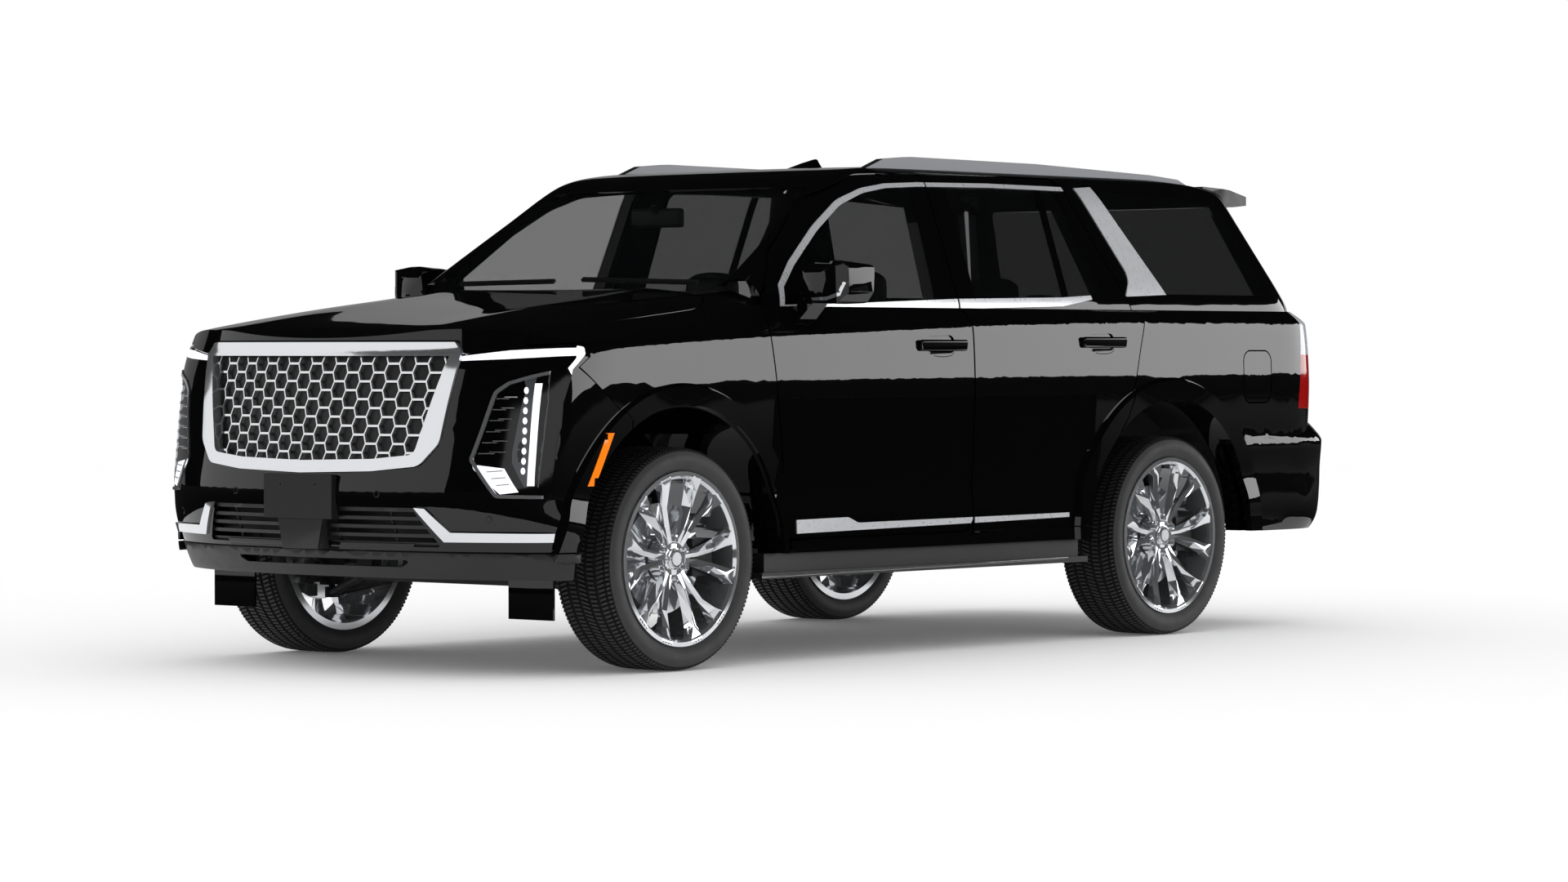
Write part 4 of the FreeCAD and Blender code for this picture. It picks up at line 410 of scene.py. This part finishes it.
def placed(name, bm, material, body, both=False, bevel=0.0, smooth=35.0):
    # an object, and its mirror image on the right where both is set
    made = []
    for side in ("Left", "Right") if both else ("",):
        twin = bm.copy()
        if side == "Right":
            for vert in twin.verts:
                vert.co.x = -vert.co.x
            bmesh.ops.reverse_faces(twin, faces=twin.faces[:])
        home = body.replace("left", "right") if side == "Right" else body
        one = meshObject(name + side, twin, material, home, smooth)
        if bevel:
            edge = one.modifiers.new("edge", "BEVEL")
            edge.width = bevel
            edge.segments = 2
            edge.limit_method = "ANGLE"
        made.append(one)
    bm.free()
    return made


def slat(name, start, end, height, depth, material, body, both=True, bevel=0.0):
    # a straight bar of rectangular section between two points
    bm = bmesh.new()
    along = end - start
    bmesh.ops.create_cube(bm, size=1.0)
    bmesh.ops.scale(bm, vec=(along.length, depth, height), verts=bm.verts)
    turn = along.to_track_quat("X", "Z").to_matrix().to_4x4()
    bmesh.ops.transform(bm, matrix=Matrix.Translation((start + end) / 2) @ turn, verts=bm.verts)
    return placed(name, bm, material, body, both, bevel)


def drum(name, centre, axis, radius, length, material, body, both=False, steps=32, bevel=0.0):
    # a round piece on an axis
    bm = bmesh.new()
    bmesh.ops.create_cone(bm, cap_ends=True, segments=steps, radius1=radius, radius2=radius, depth=length)
    turn = Vector(axis).to_track_quat("Z", "Y").to_matrix().to_4x4()
    bmesh.ops.transform(bm, matrix=Matrix.Translation(centre) @ turn, verts=bm.verts)
    return placed(name, bm, material, body, both, bevel, 40.0)


def dome(name, centre, size, material, body, both=False):
    # a ball pressed to three half sizes
    bm = bmesh.new()
    bmesh.ops.create_uvsphere(bm, u_segments=20, v_segments=12, radius=1.0)
    bmesh.ops.scale(bm, vec=size, verts=bm.verts)
    bmesh.ops.translate(bm, vec=centre, verts=bm.verts)
    return placed(name, bm, material, body, both, 0.0, 80.0)


# Tyres: a carcass spun round the axle, its tread rows raised block by block
tyre = {
    "steps": 150, "grooveDepth": 0.0075, "blockGap": 0.0040, "slant": 0.55,
    "sway": 34.0,  # how fast the slant turns across the tread, in radians per metre
    "tread": 0.390,  # the tread lies outside this radius
    "groove": 0.392,  # and its grooves outside this one
    # (x from the wheel's middle, radius, row): a strip that starts with a 1 is cut into blocks
    "profile": [
        (-0.113, 0.306, 0), (-0.126, 0.3245, 0), (-0.138, 0.345, 0), (-0.1415, 0.366, 0),
        (-0.1385, 0.384, 0), (-0.130, 0.3955, 1), (-0.110, 0.4025, 1), (-0.072, 0.4040, 0),
        (-0.064, 0.4042, 1), (-0.027, 0.4045, 0), (-0.020, 0.4045, 1), (0.020, 0.4045, 0),
        (0.027, 0.4045, 1), (0.064, 0.4042, 0), (0.072, 0.4040, 1), (0.110, 0.4025, 1),
        (0.130, 0.3955, 0), (0.1385, 0.384, 0), (0.1415, 0.366, 0), (0.138, 0.345, 0),
        (0.126, 0.3245, 0), (0.113, 0.306, 0)],
}


def outFromAxle(point):
    # radius of a point of a tyre that stands at the origin
    return math.hypot(point.y, point.z)


def makeTyre(node, side, axle):
    bm = bmesh.new()
    start = [bm.verts.new((x, 0.0, radius)) for x, radius, row in tyre["profile"]]
    edges = [bm.edges.new(pair) for pair in zip(start, start[1:])]
    bmesh.ops.spin(bm, geom=edges, angle=2 * math.pi, steps=tyre["steps"], axis=(1, 0, 0), cent=(0, 0, 0),
                   use_merge=True)
    bmesh.ops.remove_doubles(bm, verts=bm.verts, dist=0.00001)
    step = 2 * math.pi / tyre["steps"]
    for vert in bm.verts:
        if outFromAxle(vert.co) > tyre["tread"]:
            # blocks lean round the tyre towards each shoulder
            lean = tyre["slant"] * step * math.sin(vert.co.x * tyre["sway"])
            vert.co = Matrix.Rotation(lean, 3, "X") @ vert.co
    bmesh.ops.recalc_face_normals(bm, faces=bm.faces)
    raised = []
    rows = tyre["profile"]
    for face in bm.faces:
        middle = face.calc_center_median()
        for (x, radius, row), (nextX, nextRadius, nextRow) in zip(rows, rows[1:]):
            if row and x < middle.x < nextX and outFromAxle(middle) > tyre["tread"]:
                raised.append(face)
    walls = bmesh.ops.inset_individual(bm, faces=raised, thickness=tyre["blockGap"],
                                       depth=tyre["grooveDepth"], use_even_offset=True)["faces"]
    # the grooves and the walls of the blocks take material 1, a painted shade of near-black rubber
    tops = set(raised)
    for face in bm.faces:
        if face not in tops and outFromAxle(face.calc_center_median()) > tyre["groove"]:
            face.material_index = 1
    for face in walls:
        face.material_index = 1
    bmesh.ops.translate(bm, vec=(side * wheelX, axle, hubHeight), verts=bm.verts)
    made = meshObject(node + "Tread", bm, "rubber", bodyOf[node], 30.0)
    made.data.materials.append(materials["groove"])
    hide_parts(node)


for node in tyreNodes:
    makeTyre(node, 1 if node.endswith("left") else -1, frontAxle if "front" in node else rearAxle)
print("tyres made")

# Wheels: nuts in their wells and a plain cap
nuts = {"count": 6, "circle": 0.0699, "face": 0.966, "radius": 0.0105, "long": 0.020, "bevel": 0.0015}
cap = {"face": 0.9725, "radius": 0.034, "thick": 0.007, "bevel": 0.002,
       "inlayShare": 0.72, "inlayProud": 0.0036, "inlayThick": 0.003, "inlayBevel": 0.0006}
for end, axle in (("front", frontAxle), ("rear", rearAxle)):
    body = "wheel_" + end + "_left"
    for k in range(nuts["count"]):
        angle = math.radians(360 / nuts["count"] * k)
        along = nuts["circle"] * math.sin(angle)
        above = nuts["circle"] * math.cos(angle)
        drum(body + "Nut" + str(k), Vector((nuts["face"], axle + along, hubHeight + above)), (1, 0, 0),
             nuts["radius"], nuts["long"], "chrome", body, True, 6, nuts["bevel"])
    hubCentre = Vector((cap["face"], axle, hubHeight))
    drum(body + "Cap", hubCentre, (1, 0, 0), cap["radius"], cap["thick"],
         "chrome", body, True, 48, cap["bevel"])
    drum(body + "CapInlay", hubCentre + Vector((cap["inlayProud"], 0, 0)), (1, 0, 0),
         cap["radius"] * cap["inlayShare"], cap["inlayThick"],
         "satin", body, True, 48, cap["inlayBevel"])
print("wheel details made")

# Lamps. Outlines are (x, z) as seen from the front
lamps = {
    "stripFrom": 1.128,  # lower edge of the running light
    "cornerFrom": 1.065,  # and where it drops to round the corner
    "cornerBehind": bySide(-0.590),
    "clearFrom": 1.160,  # tail lamps are clear above this height, red below
    "pod": [(0.880, 1.078), (0.952, 1.098), (0.956, 0.990), (0.952, 0.860), (0.944, 0.690),
            (0.908, 0.690), (0.868, 0.776), (0.866, 0.812), (0.882, 0.970), (0.893, 1.041)],
    "foot": [(0.736, 0.770), (0.846, 0.756), (0.858, 0.735), (0.893, 0.672), (0.836, 0.664), (0.745, 0.752)],
    "footMarks": [((0.790, 0.744), (0.842, 0.748)), ((0.808, 0.720), (0.854, 0.724)),
                  ((0.826, 0.696), (0.866, 0.700))],
    "bar": [(0.938, 1.060), (0.918, 1.060), (0.918, 0.694), (0.936, 0.694)],
    "domes": [(0.893, 1.034), (0.8945, 0.998), (0.896, 0.962), (0.8975, 0.926), (0.899, 0.890),
              (0.900, 0.854), (0.901, 0.818), (0.902, 0.782), (0.9025, 0.747)],
    "domeSize": (0.0085, 0.0085, 0.0125),
    "inner": [(0.725, 0.779), (0.758, 0.903), (0.781, 1.012)],  # the pod's inner edge
    "border": [(0.856, 0.812), (0.871, 0.970), (0.883, 1.041)],  # where its lens begins
    "bladeHeights": [1.008, 0.969, 0.930, 0.890, 0.851, 0.812],
    "bladeStart": 0.022,  # from the inner edge
    "bladeEnd": 0.008,  # from the border
    "bladeLap": 0.008,  # how far the two halves of a blade pass the middle
    "bladeStep": 0.003,  # how far they lie below and above its height
    # seen from the left: (y from the front axle, z)
    "sideMarker": [(-0.436, 0.880), (-0.398, 0.880), (-0.490, 0.690), (-0.528, 0.690)],
}


def between(points, z):
    # x of a polyline of (x, z) at a height
    for (x0, z0), (x1, z1) in zip(points, points[1:]):
        if z0 <= z <= z1:
            return x0 + (x1 - x0) * (z - z0) / (z1 - z0)
    return points[0][0] if z < points[0][1] else points[-1][0]


def fromAxle(outline):
    # (y from the front axle, z) turned into (y, z)
    return [(bySide(y), z) for y, z in outline]


def noseSlat(name, start, end, proud, height, material):
    # a thin bar between two points (x, z) of the nose
    first, normal = onSkin("front", start[0], start[1])
    second, normal = onSkin("front", end[0], end[1])
    out = Vector((0, proud, 0))
    slat(name, first - out, second - out, height, 0.006, material, "chassis")


def lampSkins():
    # head lamps: the pod is dark behind its lens, the strip above it is the running light
    bm = merged("headlamps")
    sliced(bm, Vector((0, 0, lamps["stripFrom"])), 2)
    made = meshObject("headlampSkin", bm, "glossPlastic", "chassis", 24.0)
    made.data.materials.append(materials["lampLight"])
    for polygon in made.data.polygons:
        middle = polygon.center
        inCorner = middle.y > lamps["cornerBehind"] and middle.z > lamps["cornerFrom"]
        if middle.z > lamps["stripFrom"] or inCorner:
            polygon.material_index = 1
    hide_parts("headlamps")
    # tail lamps: clear above, red below
    bm = merged("tail_lamps")
    sliced(bm, Vector((0, 0, lamps["clearFrom"])), 2)
    made = meshObject("tailLampSkin", bm, "redLens", "chassis", 24.0)
    made.data.materials.append(materials["tailLens"])
    for polygon in made.data.polygons:
        if polygon.center.z > lamps["clearFrom"]:
            polygon.material_index = 1
    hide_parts("tail_lamps")


lampSkins()
inlay("lampFoot", "front", lamps["foot"], "lampLight", "chassis", 0.002)
# the pod's lens is an opaque grey sheet whose grey is a painted sheen
inlay("lampLens", "front", lamps["pod"], "smokedLens", "chassis", 0.001)
inlay("lampBar", "front", lamps["bar"], "lampLight", "chassis", 0.005, 0.004)
for k, (x, z) in enumerate(lamps["domes"]):
    place, normal = onSkin("front", x, z)
    dome("lampDome" + str(k), place + normal * 0.003, lamps["domeSize"], "lampLight", "chassis", True)
for k, z in enumerate(lamps["bladeHeights"]):
    inner = between(lamps["inner"], z) + lamps["bladeStart"]
    outer = between(lamps["border"], z) - lamps["bladeEnd"]
    middle = (inner + outer) / 2
    lower = z - lamps["bladeStep"]
    upper = z + lamps["bladeStep"]
    noseSlat("lampBladeIn" + str(k), (inner, lower), (middle + lamps["bladeLap"], lower), 0.003, 0.0035,
             "chrome")
    noseSlat("lampBladeOut" + str(k), (middle - lamps["bladeLap"], upper), (outer, upper), 0.003, 0.0035,
             "chrome")
for k, (start, end) in enumerate(lamps["footMarks"]):
    noseSlat("lampMark" + str(k), start, end, 0.004, 0.0022, "glossPlastic")
inlay("sideMarker", "left", fromAxle(lamps["sideMarker"]), "amber", "chassis", 0.002, 0.006)

# Parking sensors: a ring flush with the bumper, on the nose with an eye of paint
sensors = {"front": [(0.365, 0.660), (0.792, 0.574)], "rear": [(0.30, 0.70), (0.66, 0.70)],
           "corner": (bySide(-0.534), 0.580), "radius": 0.013, "eye": 0.009, "thick": 0.003, "bevel": 0.0006}


def sensorRing(name, face, u, w):
    place, normal = onSkin(face, u, w)
    drum(name, place, normal, sensors["radius"], sensors["thick"], "plastic", "chassis",
         True, 24, sensors["bevel"])
    return place, normal


for k, (x, z) in enumerate(sensors["front"]):
    place, normal = sensorRing("parkingSensor" + str(k), "front", x, z)
    drum("parkingSensorEye" + str(k), place + normal * 0.0012, normal, sensors["eye"], sensors["thick"],
         "paint", "chassis", True, 24)
sensorRing("cornerSensor", "left", *sensors["corner"])
print("lamp details made")

# Seats: crowned cushions with sewn channels over plain bases; y is the front edge of the cushion
seats = {
    "front": {
        "node": "front_seats", "x": 0.390, "y": bySide(1.150), "half": 0.250, "long": 0.500, "low": 0.628,
        "high": 0.775, "backY": 0.430, "backDeep": 0.118, "backLean": 0.158, "backTop": 1.300,
        "restY": 0.580, "restDeep": 0.100, "restTop": 1.500, "restHalf": 0.130, "base": 0.620},
    "second": {
        "node": "second_row_seats", "x": 0.390, "y": bySide(2.080), "half": 0.252, "long": 0.480,
        "low": 0.645, "high": 0.784, "backY": 0.418, "backDeep": 0.105, "backLean": 0.130, "backTop": 1.300,
        "restY": 0.530, "restDeep": 0.090, "restTop": 1.480, "restHalf": 0.130, "base": 0.640},
}
seatBase = {"low": 0.52, "sunk": 0.02, "half": 0.195, "middle": 0.25, "long": 0.38}
# the third row is one bench; each pad is (first y, last y, lowest z, highest z), y from the bench's front
bench = {
    "node": "third_row_seat", "y": rearAxle - 0.080, "half": 0.635, "channels": (-0.34, 0.34),
    "cushion": (0.0, 0.425, 0.684, 0.804), "back": (0.382, 0.472, 0.808, 1.275),
    "rest": (0.470, 0.545, 1.305, 1.420), "restX": (-0.42, 0.0, 0.42), "restHalf": 0.110,
}
padding = {"cuts": 9, "seamHalf": 0.022, "seamDepth": 0.007, "corner": 0.010}


def seatPad(name, low, high, node, lean=0.0, crown=0.02, channels=(), cross=(), both=True):
    # a crowned pad: its sides pull in between the corners, and seams are drawn in across its face
    half = (high - low) / 2
    middle = (high + low) / 2
    upright = half.z > half.y
    bm = bmesh.new()
    bmesh.ops.create_cube(bm, size=2.0)
    bmesh.ops.subdivide_edges(bm, edges=bm.edges[:], cuts=padding["cuts"], use_grid_fill=True)
    for axis, seams in ((0, channels), (2 if upright else 1, cross)):
        for seam in seams:
            for shift in (-padding["seamHalf"], 0.0, padding["seamHalf"]):
                spot = Vector((0, 0, 0))
                spot[axis] = seam + shift / half[axis]
                sliced(bm, spot, axis)
    for vert in bm.verts:
        a, b, c = vert.co
        swell = Vector((
            a * (half.x - crown * 0.6 * (1 - (1 - b * b) * (1 - c * c))),
            b * (half.y - crown * (1 - (1 - a * a) * (1 - c * c))),
            c * (half.z - crown * (1 - (1 - a * a) * (1 - b * b)))))
        edge = abs(a * b) ** 6 + abs(b * c) ** 6 + abs(c * a) ** 6
        outwards = Vector((math.copysign(1, a), math.copysign(1, b), math.copysign(1, c)))
        swell -= outwards * padding["corner"] * min(edge, 1.0)
        onSeam = any(abs(a - seam) < 0.004 for seam in channels)
        onSeam = onSeam or any(abs((c if upright else b) - seam) < 0.004 for seam in cross)
        if onSeam and upright and b < -0.98:
            swell.y += padding["seamDepth"]
        if onSeam and not upright and c > 0.98:
            swell.z -= padding["seamDepth"]
        vert.co = middle + swell
        vert.co.y += lean * (vert.co.z - low.z)
    made = placed(name, bm, "leather", "chassis", both, 0.0, 50.0)
    for one in made:
        soft = one.modifiers.new("soft", "SUBSURF")
        soft.levels = soft.render_levels = 1
        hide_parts(node)
    return made


def benchPad(name, x, half, pad, lean, crown, channels=(), cross=()):
    start, end, low, high = bench[pad]
    seatPad(name, Vector((x - half, bench["y"] + start, low)), Vector((x + half, bench["y"] + end, high)),
            bench["node"], lean, crown, channels, cross, False)


for row, s in seats.items():
    x, y, half = s["x"], s["y"], s["half"]
    seatPad(row + "Cushion", Vector((x - half, y, s["low"])), Vector((x + half, y + s["long"], s["high"])),
            s["node"], 0.0, 0.022, (-0.62, 0.62), (-0.1, 0.35))
    backY = y + s["backY"]
    seatPad(row + "Back", Vector((x - half, backY, s["high"] + 0.004)),
            Vector((x + half, backY + s["backDeep"], s["backTop"] - 0.005)),
            s["node"], s["backLean"] / 0.6, 0.020, (-0.62, 0.62), (-0.2, 0.25))
    restY = y + s["restY"]
    seatPad(row + "HeadRest", Vector((x - s["restHalf"], restY, s["backTop"] + 0.034)),
            Vector((x + s["restHalf"], restY + s["restDeep"], s["restTop"])), s["node"], 0.0, 0.014)
    for post, side in (("PostIn", -0.055), ("PostOut", 0.055)):
        drum(row + post, Vector((x + side, restY + 0.045, s["backTop"] + 0.01)), (0, 0, 1), 0.006, 0.08,
             "chrome", "chassis", True, 16)
    baseY = y + seatBase["middle"]
    baseZ = (seatBase["low"] + s["base"]) / 2
    slat(row + "Base", Vector((x - seatBase["half"], baseY, baseZ)),
         Vector((x + seatBase["half"], baseY, baseZ)), s["base"] - seatBase["low"] + seatBase["sunk"],
         seatBase["long"], "plastic", "chassis", True, 0.012)
benchPad("thirdCushion", 0.0, bench["half"], "cushion", 0.0, 0.020, bench["channels"], (0.2,))
benchPad("thirdBack", 0.0, bench["half"], "back", 0.135, 0.018, bench["channels"], (0.3,))
for k, x in enumerate(bench["restX"]):
    benchPad("thirdHeadRest" + str(k), x, bench["restHalf"], "rest", 0.0, 0.012)
slat("thirdBase", Vector((-0.60, bench["y"] + 0.22, 0.60)), Vector((0.60, bench["y"] + 0.22, 0.60)),
     0.17, 0.30, "plastic", "chassis", False, 0.015)
print("seats made")

# Side details, all (y from the front axle, z)
sideTrim = {
    "divider": [(2.459, 1.8315), (2.502, 1.8315), (2.483, 1.3815), (2.440, 1.3815)],
    "corner": [(0.692, 1.3615), (0.700, 1.4105), (0.800, 1.4920), (0.872, 1.3630)],
    "stepLine": [(0.457, 0.3305), (2.370, 0.3405)],
}
inlay("rearWindowDivider", "left", fromAxle(sideTrim["divider"]), "glossPlastic", "rear_door_left",
      0.0025)
inlay("frontWindowCorner", "left", fromAxle(sideTrim["corner"]), "glossPlastic", "front_door_left",
      0.002)
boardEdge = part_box("running_boards")[1][0] - 0.001
stepStart, stepEnd = [Vector((boardEdge, y, z)) for y, z in fromAxle(sideTrim["stepLine"])]
slat("stepLine", stepStart, stepEnd, 0.007, 0.004, "chrome", "chassis", True, 0.001)

# Glass and inside: the mirrors, the wipers and what shows through the windscreen
mirrors = {
    "blade": [(1.052, 1.366), (1.120, 1.366), (1.168, 1.384), (1.183, 1.432), (1.176, 1.436), (1.160, 1.396),
              (1.118, 1.379), (1.054, 1.376)],
    "glass": [(1.012, 1.374), (1.150, 1.374), (1.172, 1.392), (1.174, 1.484), (1.150, 1.502), (1.014, 1.494)],
}
inlay("mirrorSignal", "mirror", mirrors["blade"], "chrome", "front_door_left",
      0.0015, 0.004, 0.012)
inlay("mirrorGlass", "mirrorBack", mirrors["glass"], "chrome", "front_door_left",
      0.001, 0.003, 0.04)
wipers = {"long": [(0.640, 1.436), (0.060, 1.452), (0.060, 1.462), (0.640, 1.446)],
          "short": [(-0.080, 1.446), (-0.600, 1.440), (-0.600, 1.450), (-0.080, 1.456)]}
for name, outline in wipers.items():
    inlay(name + "Wiper", "screen", outline, "plastic", "chassis", 0.014, 0.012, 0.05, False)
roomMirror = {"place": Vector((0.0, bySide(1.000), 1.700)), "size": (0.130, 0.016, 0.038), "round": 0.012,
              "stemTop": 1.745, "stemWide": 0.022, "stemDeep": 0.030}
bm = bmesh.new()
bmesh.ops.create_cube(bm, size=2.0)
bmesh.ops.scale(bm, vec=roomMirror["size"], verts=bm.verts)
bmesh.ops.bevel(bm, geom=bm.edges[:], offset=roomMirror["round"], segments=3, profile=0.5, affect="EDGES",
                material=-1)
bmesh.ops.translate(bm, vec=roomMirror["place"], verts=bm.verts)
placed("roomMirror", bm, "plastic", "chassis")
glassPoint, normal = onSkin("screen", 0.0, roomMirror["stemTop"])
slat("roomMirrorStem", roomMirror["place"] + Vector((0, -0.01, 0.02)), glassPoint + Vector((0, 0.012, 0.0)),
     roomMirror["stemWide"], roomMirror["stemDeep"], "plastic", "chassis", False, 0.004)
print("side details made")

# Door handles: a rounded grip over the plain one, tipped a little to the ground, and under it a near-black
# sheet as painted shade for the cup's recess
grips = {"front_door_left": (1.546, 1.198), "rear_door_left": (2.606, 1.211)}
grip = {"size": (0.020, 0.292, 0.044), "round": 0.009, "sunk": 0.0075, "tip": math.radians(7)}
for door, (y, z) in grips.items():
    place, normal = onSkin("left", bySide(y), z)
    bm = bmesh.new()
    bmesh.ops.create_cube(bm, size=1.0)
    bmesh.ops.scale(bm, vec=grip["size"], verts=bm.verts)
    bmesh.ops.bevel(bm, geom=bm.edges[:], offset=grip["round"], segments=4, profile=0.5, affect="EDGES",
                    material=-1)
    seat = Matrix.Translation(place - Vector((grip["sunk"], 0, 0)))
    bmesh.ops.transform(bm, matrix=seat @ Matrix.Rotation(grip["tip"], 4, "Y"), verts=bm.verts)
    placed(door + "Grip", bm, "paint", door, True, 0.0, 40.0)
# a near-black gloss sheet laid flush on the door where the cup is: painted shade of the recess
cups = {"front_door_left": (1.546, 1.175), "rear_door_left": (2.606, 1.186)}
cupOutline = [(-0.074, 0.0), (-0.070, -0.010), (-0.052, -0.019), (-0.020, -0.023), (0.020, -0.023),
              (0.052, -0.019), (0.070, -0.010), (0.074, 0.0)]
for door, (y, z) in cups.items():
    outline = [(bySide(y + a), z + b) for a, b in cupOutline]
    inlay(door + "PaintedCupShade", "left", outline, "glossPlastic", door, 0.0008, 0.0015, 0.02)
print("handle cups made")

# Nose and tail details
skidLedge = [(-0.486, 0.480), (0.486, 0.480), (0.462, 0.456), (-0.462, 0.456)]
inlay("skidLedge", "front", skidLedge, "glossPlastic", "chassis",
      0.004, 0.006, 0.08, False)
tail = {
    "recess": [(-0.300, 0.985), (-0.275, 1.125), (0.275, 1.125), (0.300, 0.985)],
    "handleBar": [(-0.420, 1.140), (-0.424, 1.166), (0.424, 1.166), (0.420, 1.140)],
    "brakeLight": [(-0.200, 1.824), (-0.200, 1.832), (0.200, 1.832), (0.200, 1.824)],
    "strip": [(-0.780, 0.585), (-0.790, 0.600), (0.790, 0.600), (0.780, 0.585)],
    "reflector": [(0.800, 0.640), (0.930, 0.646), (0.932, 0.668), (0.802, 0.662)],
}
inlay("plateRecess", "rear", tail["recess"], "plastic", "tailgate",
      0.001, 0.002, 0.06, False)
inlay("tailgateHandleBar", "rear", tail["handleBar"], "chrome", "tailgate",
      0.010, 0.010, 0.06, False, 0.002)
inlay("highBrakeLight", "rear", tail["brakeLight"], "redLens", "tailgate",
      0.002, 0.003, 0.05, False)
inlay("rearBumperStrip", "rear", tail["strip"], "chrome", "chassis", 0.003, 0.004, 0.08, False)
# the reflector takes the red lens with its painted glow, though it is no lamp
inlay("rearReflector", "rear", tail["reflector"], "redLens", "chassis", 0.002, 0.003, 0.04)
for k, (x, z) in enumerate(sensors["rear"]):
    sensorRing("rearSensor" + str(k), "rear", x, z)
print("nose and tail details made")

# Camera at the photograph's place: 40 degrees round from straight ahead, a long lens
view = {"place": (12.9478, -15.3597, 1.1748), "turn": 0.69819, "dip": math.radians(-1.04), "lens": 113.56}
lensData = bpy.data.cameras.new("camera")
lensData.lens = view["lens"]
lensData.sensor_width = 36.0
lensData.clip_end = 200.0
camera = bpy.data.objects.new("camera", lensData)
camera.location = view["place"]
camera.rotation_euler = (math.pi / 2 + view["dip"], 0.0, view["turn"])
bpy.context.scene.collection.objects.link(camera)
bpy.context.scene.camera = camera

# Floor and light
bm = bmesh.new()
bmesh.ops.create_grid(bm, x_segments=1, y_segments=1, size=60.0)
floorMesh = bpy.data.meshes.new("studioFloor")
bm.to_mesh(floorMesh)
bm.free()
studioFloor = bpy.data.objects.new("studioFloor", floorMesh)
bpy.context.scene.collection.objects.link(studioFloor)
# matt white paint with a breath of its own light, so that the floor meets the backdrop without a seam
floorMesh.materials.append(surface("paleFloor", "#ffffff", roughness=1.0, glow=("#ffffff", 0.07)))

world = bpy.data.worlds.new("studio")
bpy.context.scene.world = world
world.use_nodes = True
world.node_tree.nodes.clear()
background = addNode(world.node_tree, "ShaderNodeBackground", {"Color": linear("#ffffff"), "Strength": 1.0})
addNode(world.node_tree, "ShaderNodeOutputWorld", None, {"Surface": (background, "Background")})

# Black flags and long soft boxes, as a car photographer hangs them: only the gloss of the paint meets them
studio = {
    "radius": 30.0,
    # bright metal still sees the pale floor inside this radius
    "openFloor": 4.2,
    "flag": "#060606",
    # a low flag beside the doors keeps their lower halves black: x, first and last y, height
    "doorFlags": (1.70, -0.35, 1.80, 0.96),
    # name, first bearing, sweep, lowest and highest edge, brightness; bearing 0 is +X, 90 is +Y
    "boxes": [("sideBox", 15, 70, 1.5, 9.0, 3.9), ("noseBox", 195, 70, 0.3, 12.0, 0.95),
              ("farBox", 100, 80, 0.05, 8.0, 0.28), ("nearBox", 285, 80, 0.05, 7.0, 0.9)],
}


def studioPiece(name, bm, colour, strength):
    mesh = bpy.data.meshes.new(name)
    bm.to_mesh(mesh)
    bm.free()
    made = bpy.data.objects.new(name, mesh)
    bpy.context.scene.collection.objects.link(made)
    made.visible_camera = made.visible_diffuse = made.visible_transmission = made.visible_shadow = False
    # cloth lit from behind, or black velvet: an even patch in a reflection
    mesh.materials.append(surface(name + "Cloth", "#000000", roughness=1.0, glow=(colour, strength)))


bm = bmesh.new()
bmesh.ops.create_uvsphere(bm, u_segments=48, v_segments=24, radius=studio["radius"] + 2)
bmesh.ops.bisect_plane(bm, geom=bm.verts[:] + bm.edges[:] + bm.faces[:], plane_co=(0, 0, 0.004),
                       plane_no=(0, 0, 1), clear_inner=True)
studioPiece("blackFlags", bm, studio["flag"], 1.0)
bm = bmesh.new()
rims = [bm.verts.new((r, 0, 0.003)) for r in (studio["openFloor"], studio["radius"] + 3)]
bmesh.ops.spin(bm, geom=[bm.edges.new(rims)], angle=2 * math.pi, steps=48, axis=(0, 0, 1), cent=(0, 0, 0),
               use_merge=True)
studioPiece("blackFloorFlag", bm, studio["flag"], 1.0)
flagX, flagStart, flagEnd, flagHeight = studio["doorFlags"]
flagLow = 0.02
for side in (-1, 1):
    bm = bmesh.new()
    bm.faces.new([bm.verts.new((side * flagX, y, z)) for y, z in (
        (flagStart, flagLow), (flagEnd, flagLow), (flagEnd, flagHeight), (flagStart, flagHeight))])
    studioPiece("doorFlag" + ("Left" if side > 0 else "Right"), bm, studio["flag"], 1.0)
for name, bearing, sweep, low, high, strength in studio["boxes"]:
    bm = bmesh.new()
    turn = Matrix.Rotation(math.radians(bearing), 3, "Z")
    ends = [bm.verts.new(turn @ Vector((studio["radius"] - 1, 0, z))) for z in (low, high)]
    bmesh.ops.spin(bm, geom=[bm.edges.new(ends)], angle=math.radians(sweep), steps=24, axis=(0, 0, 1),
                   cent=(0, 0, 0))
    studioPiece(name, bm, "#ffffff", strength)

bpy.context.scene.view_settings.view_transform = "Standard"
print("scene ready")
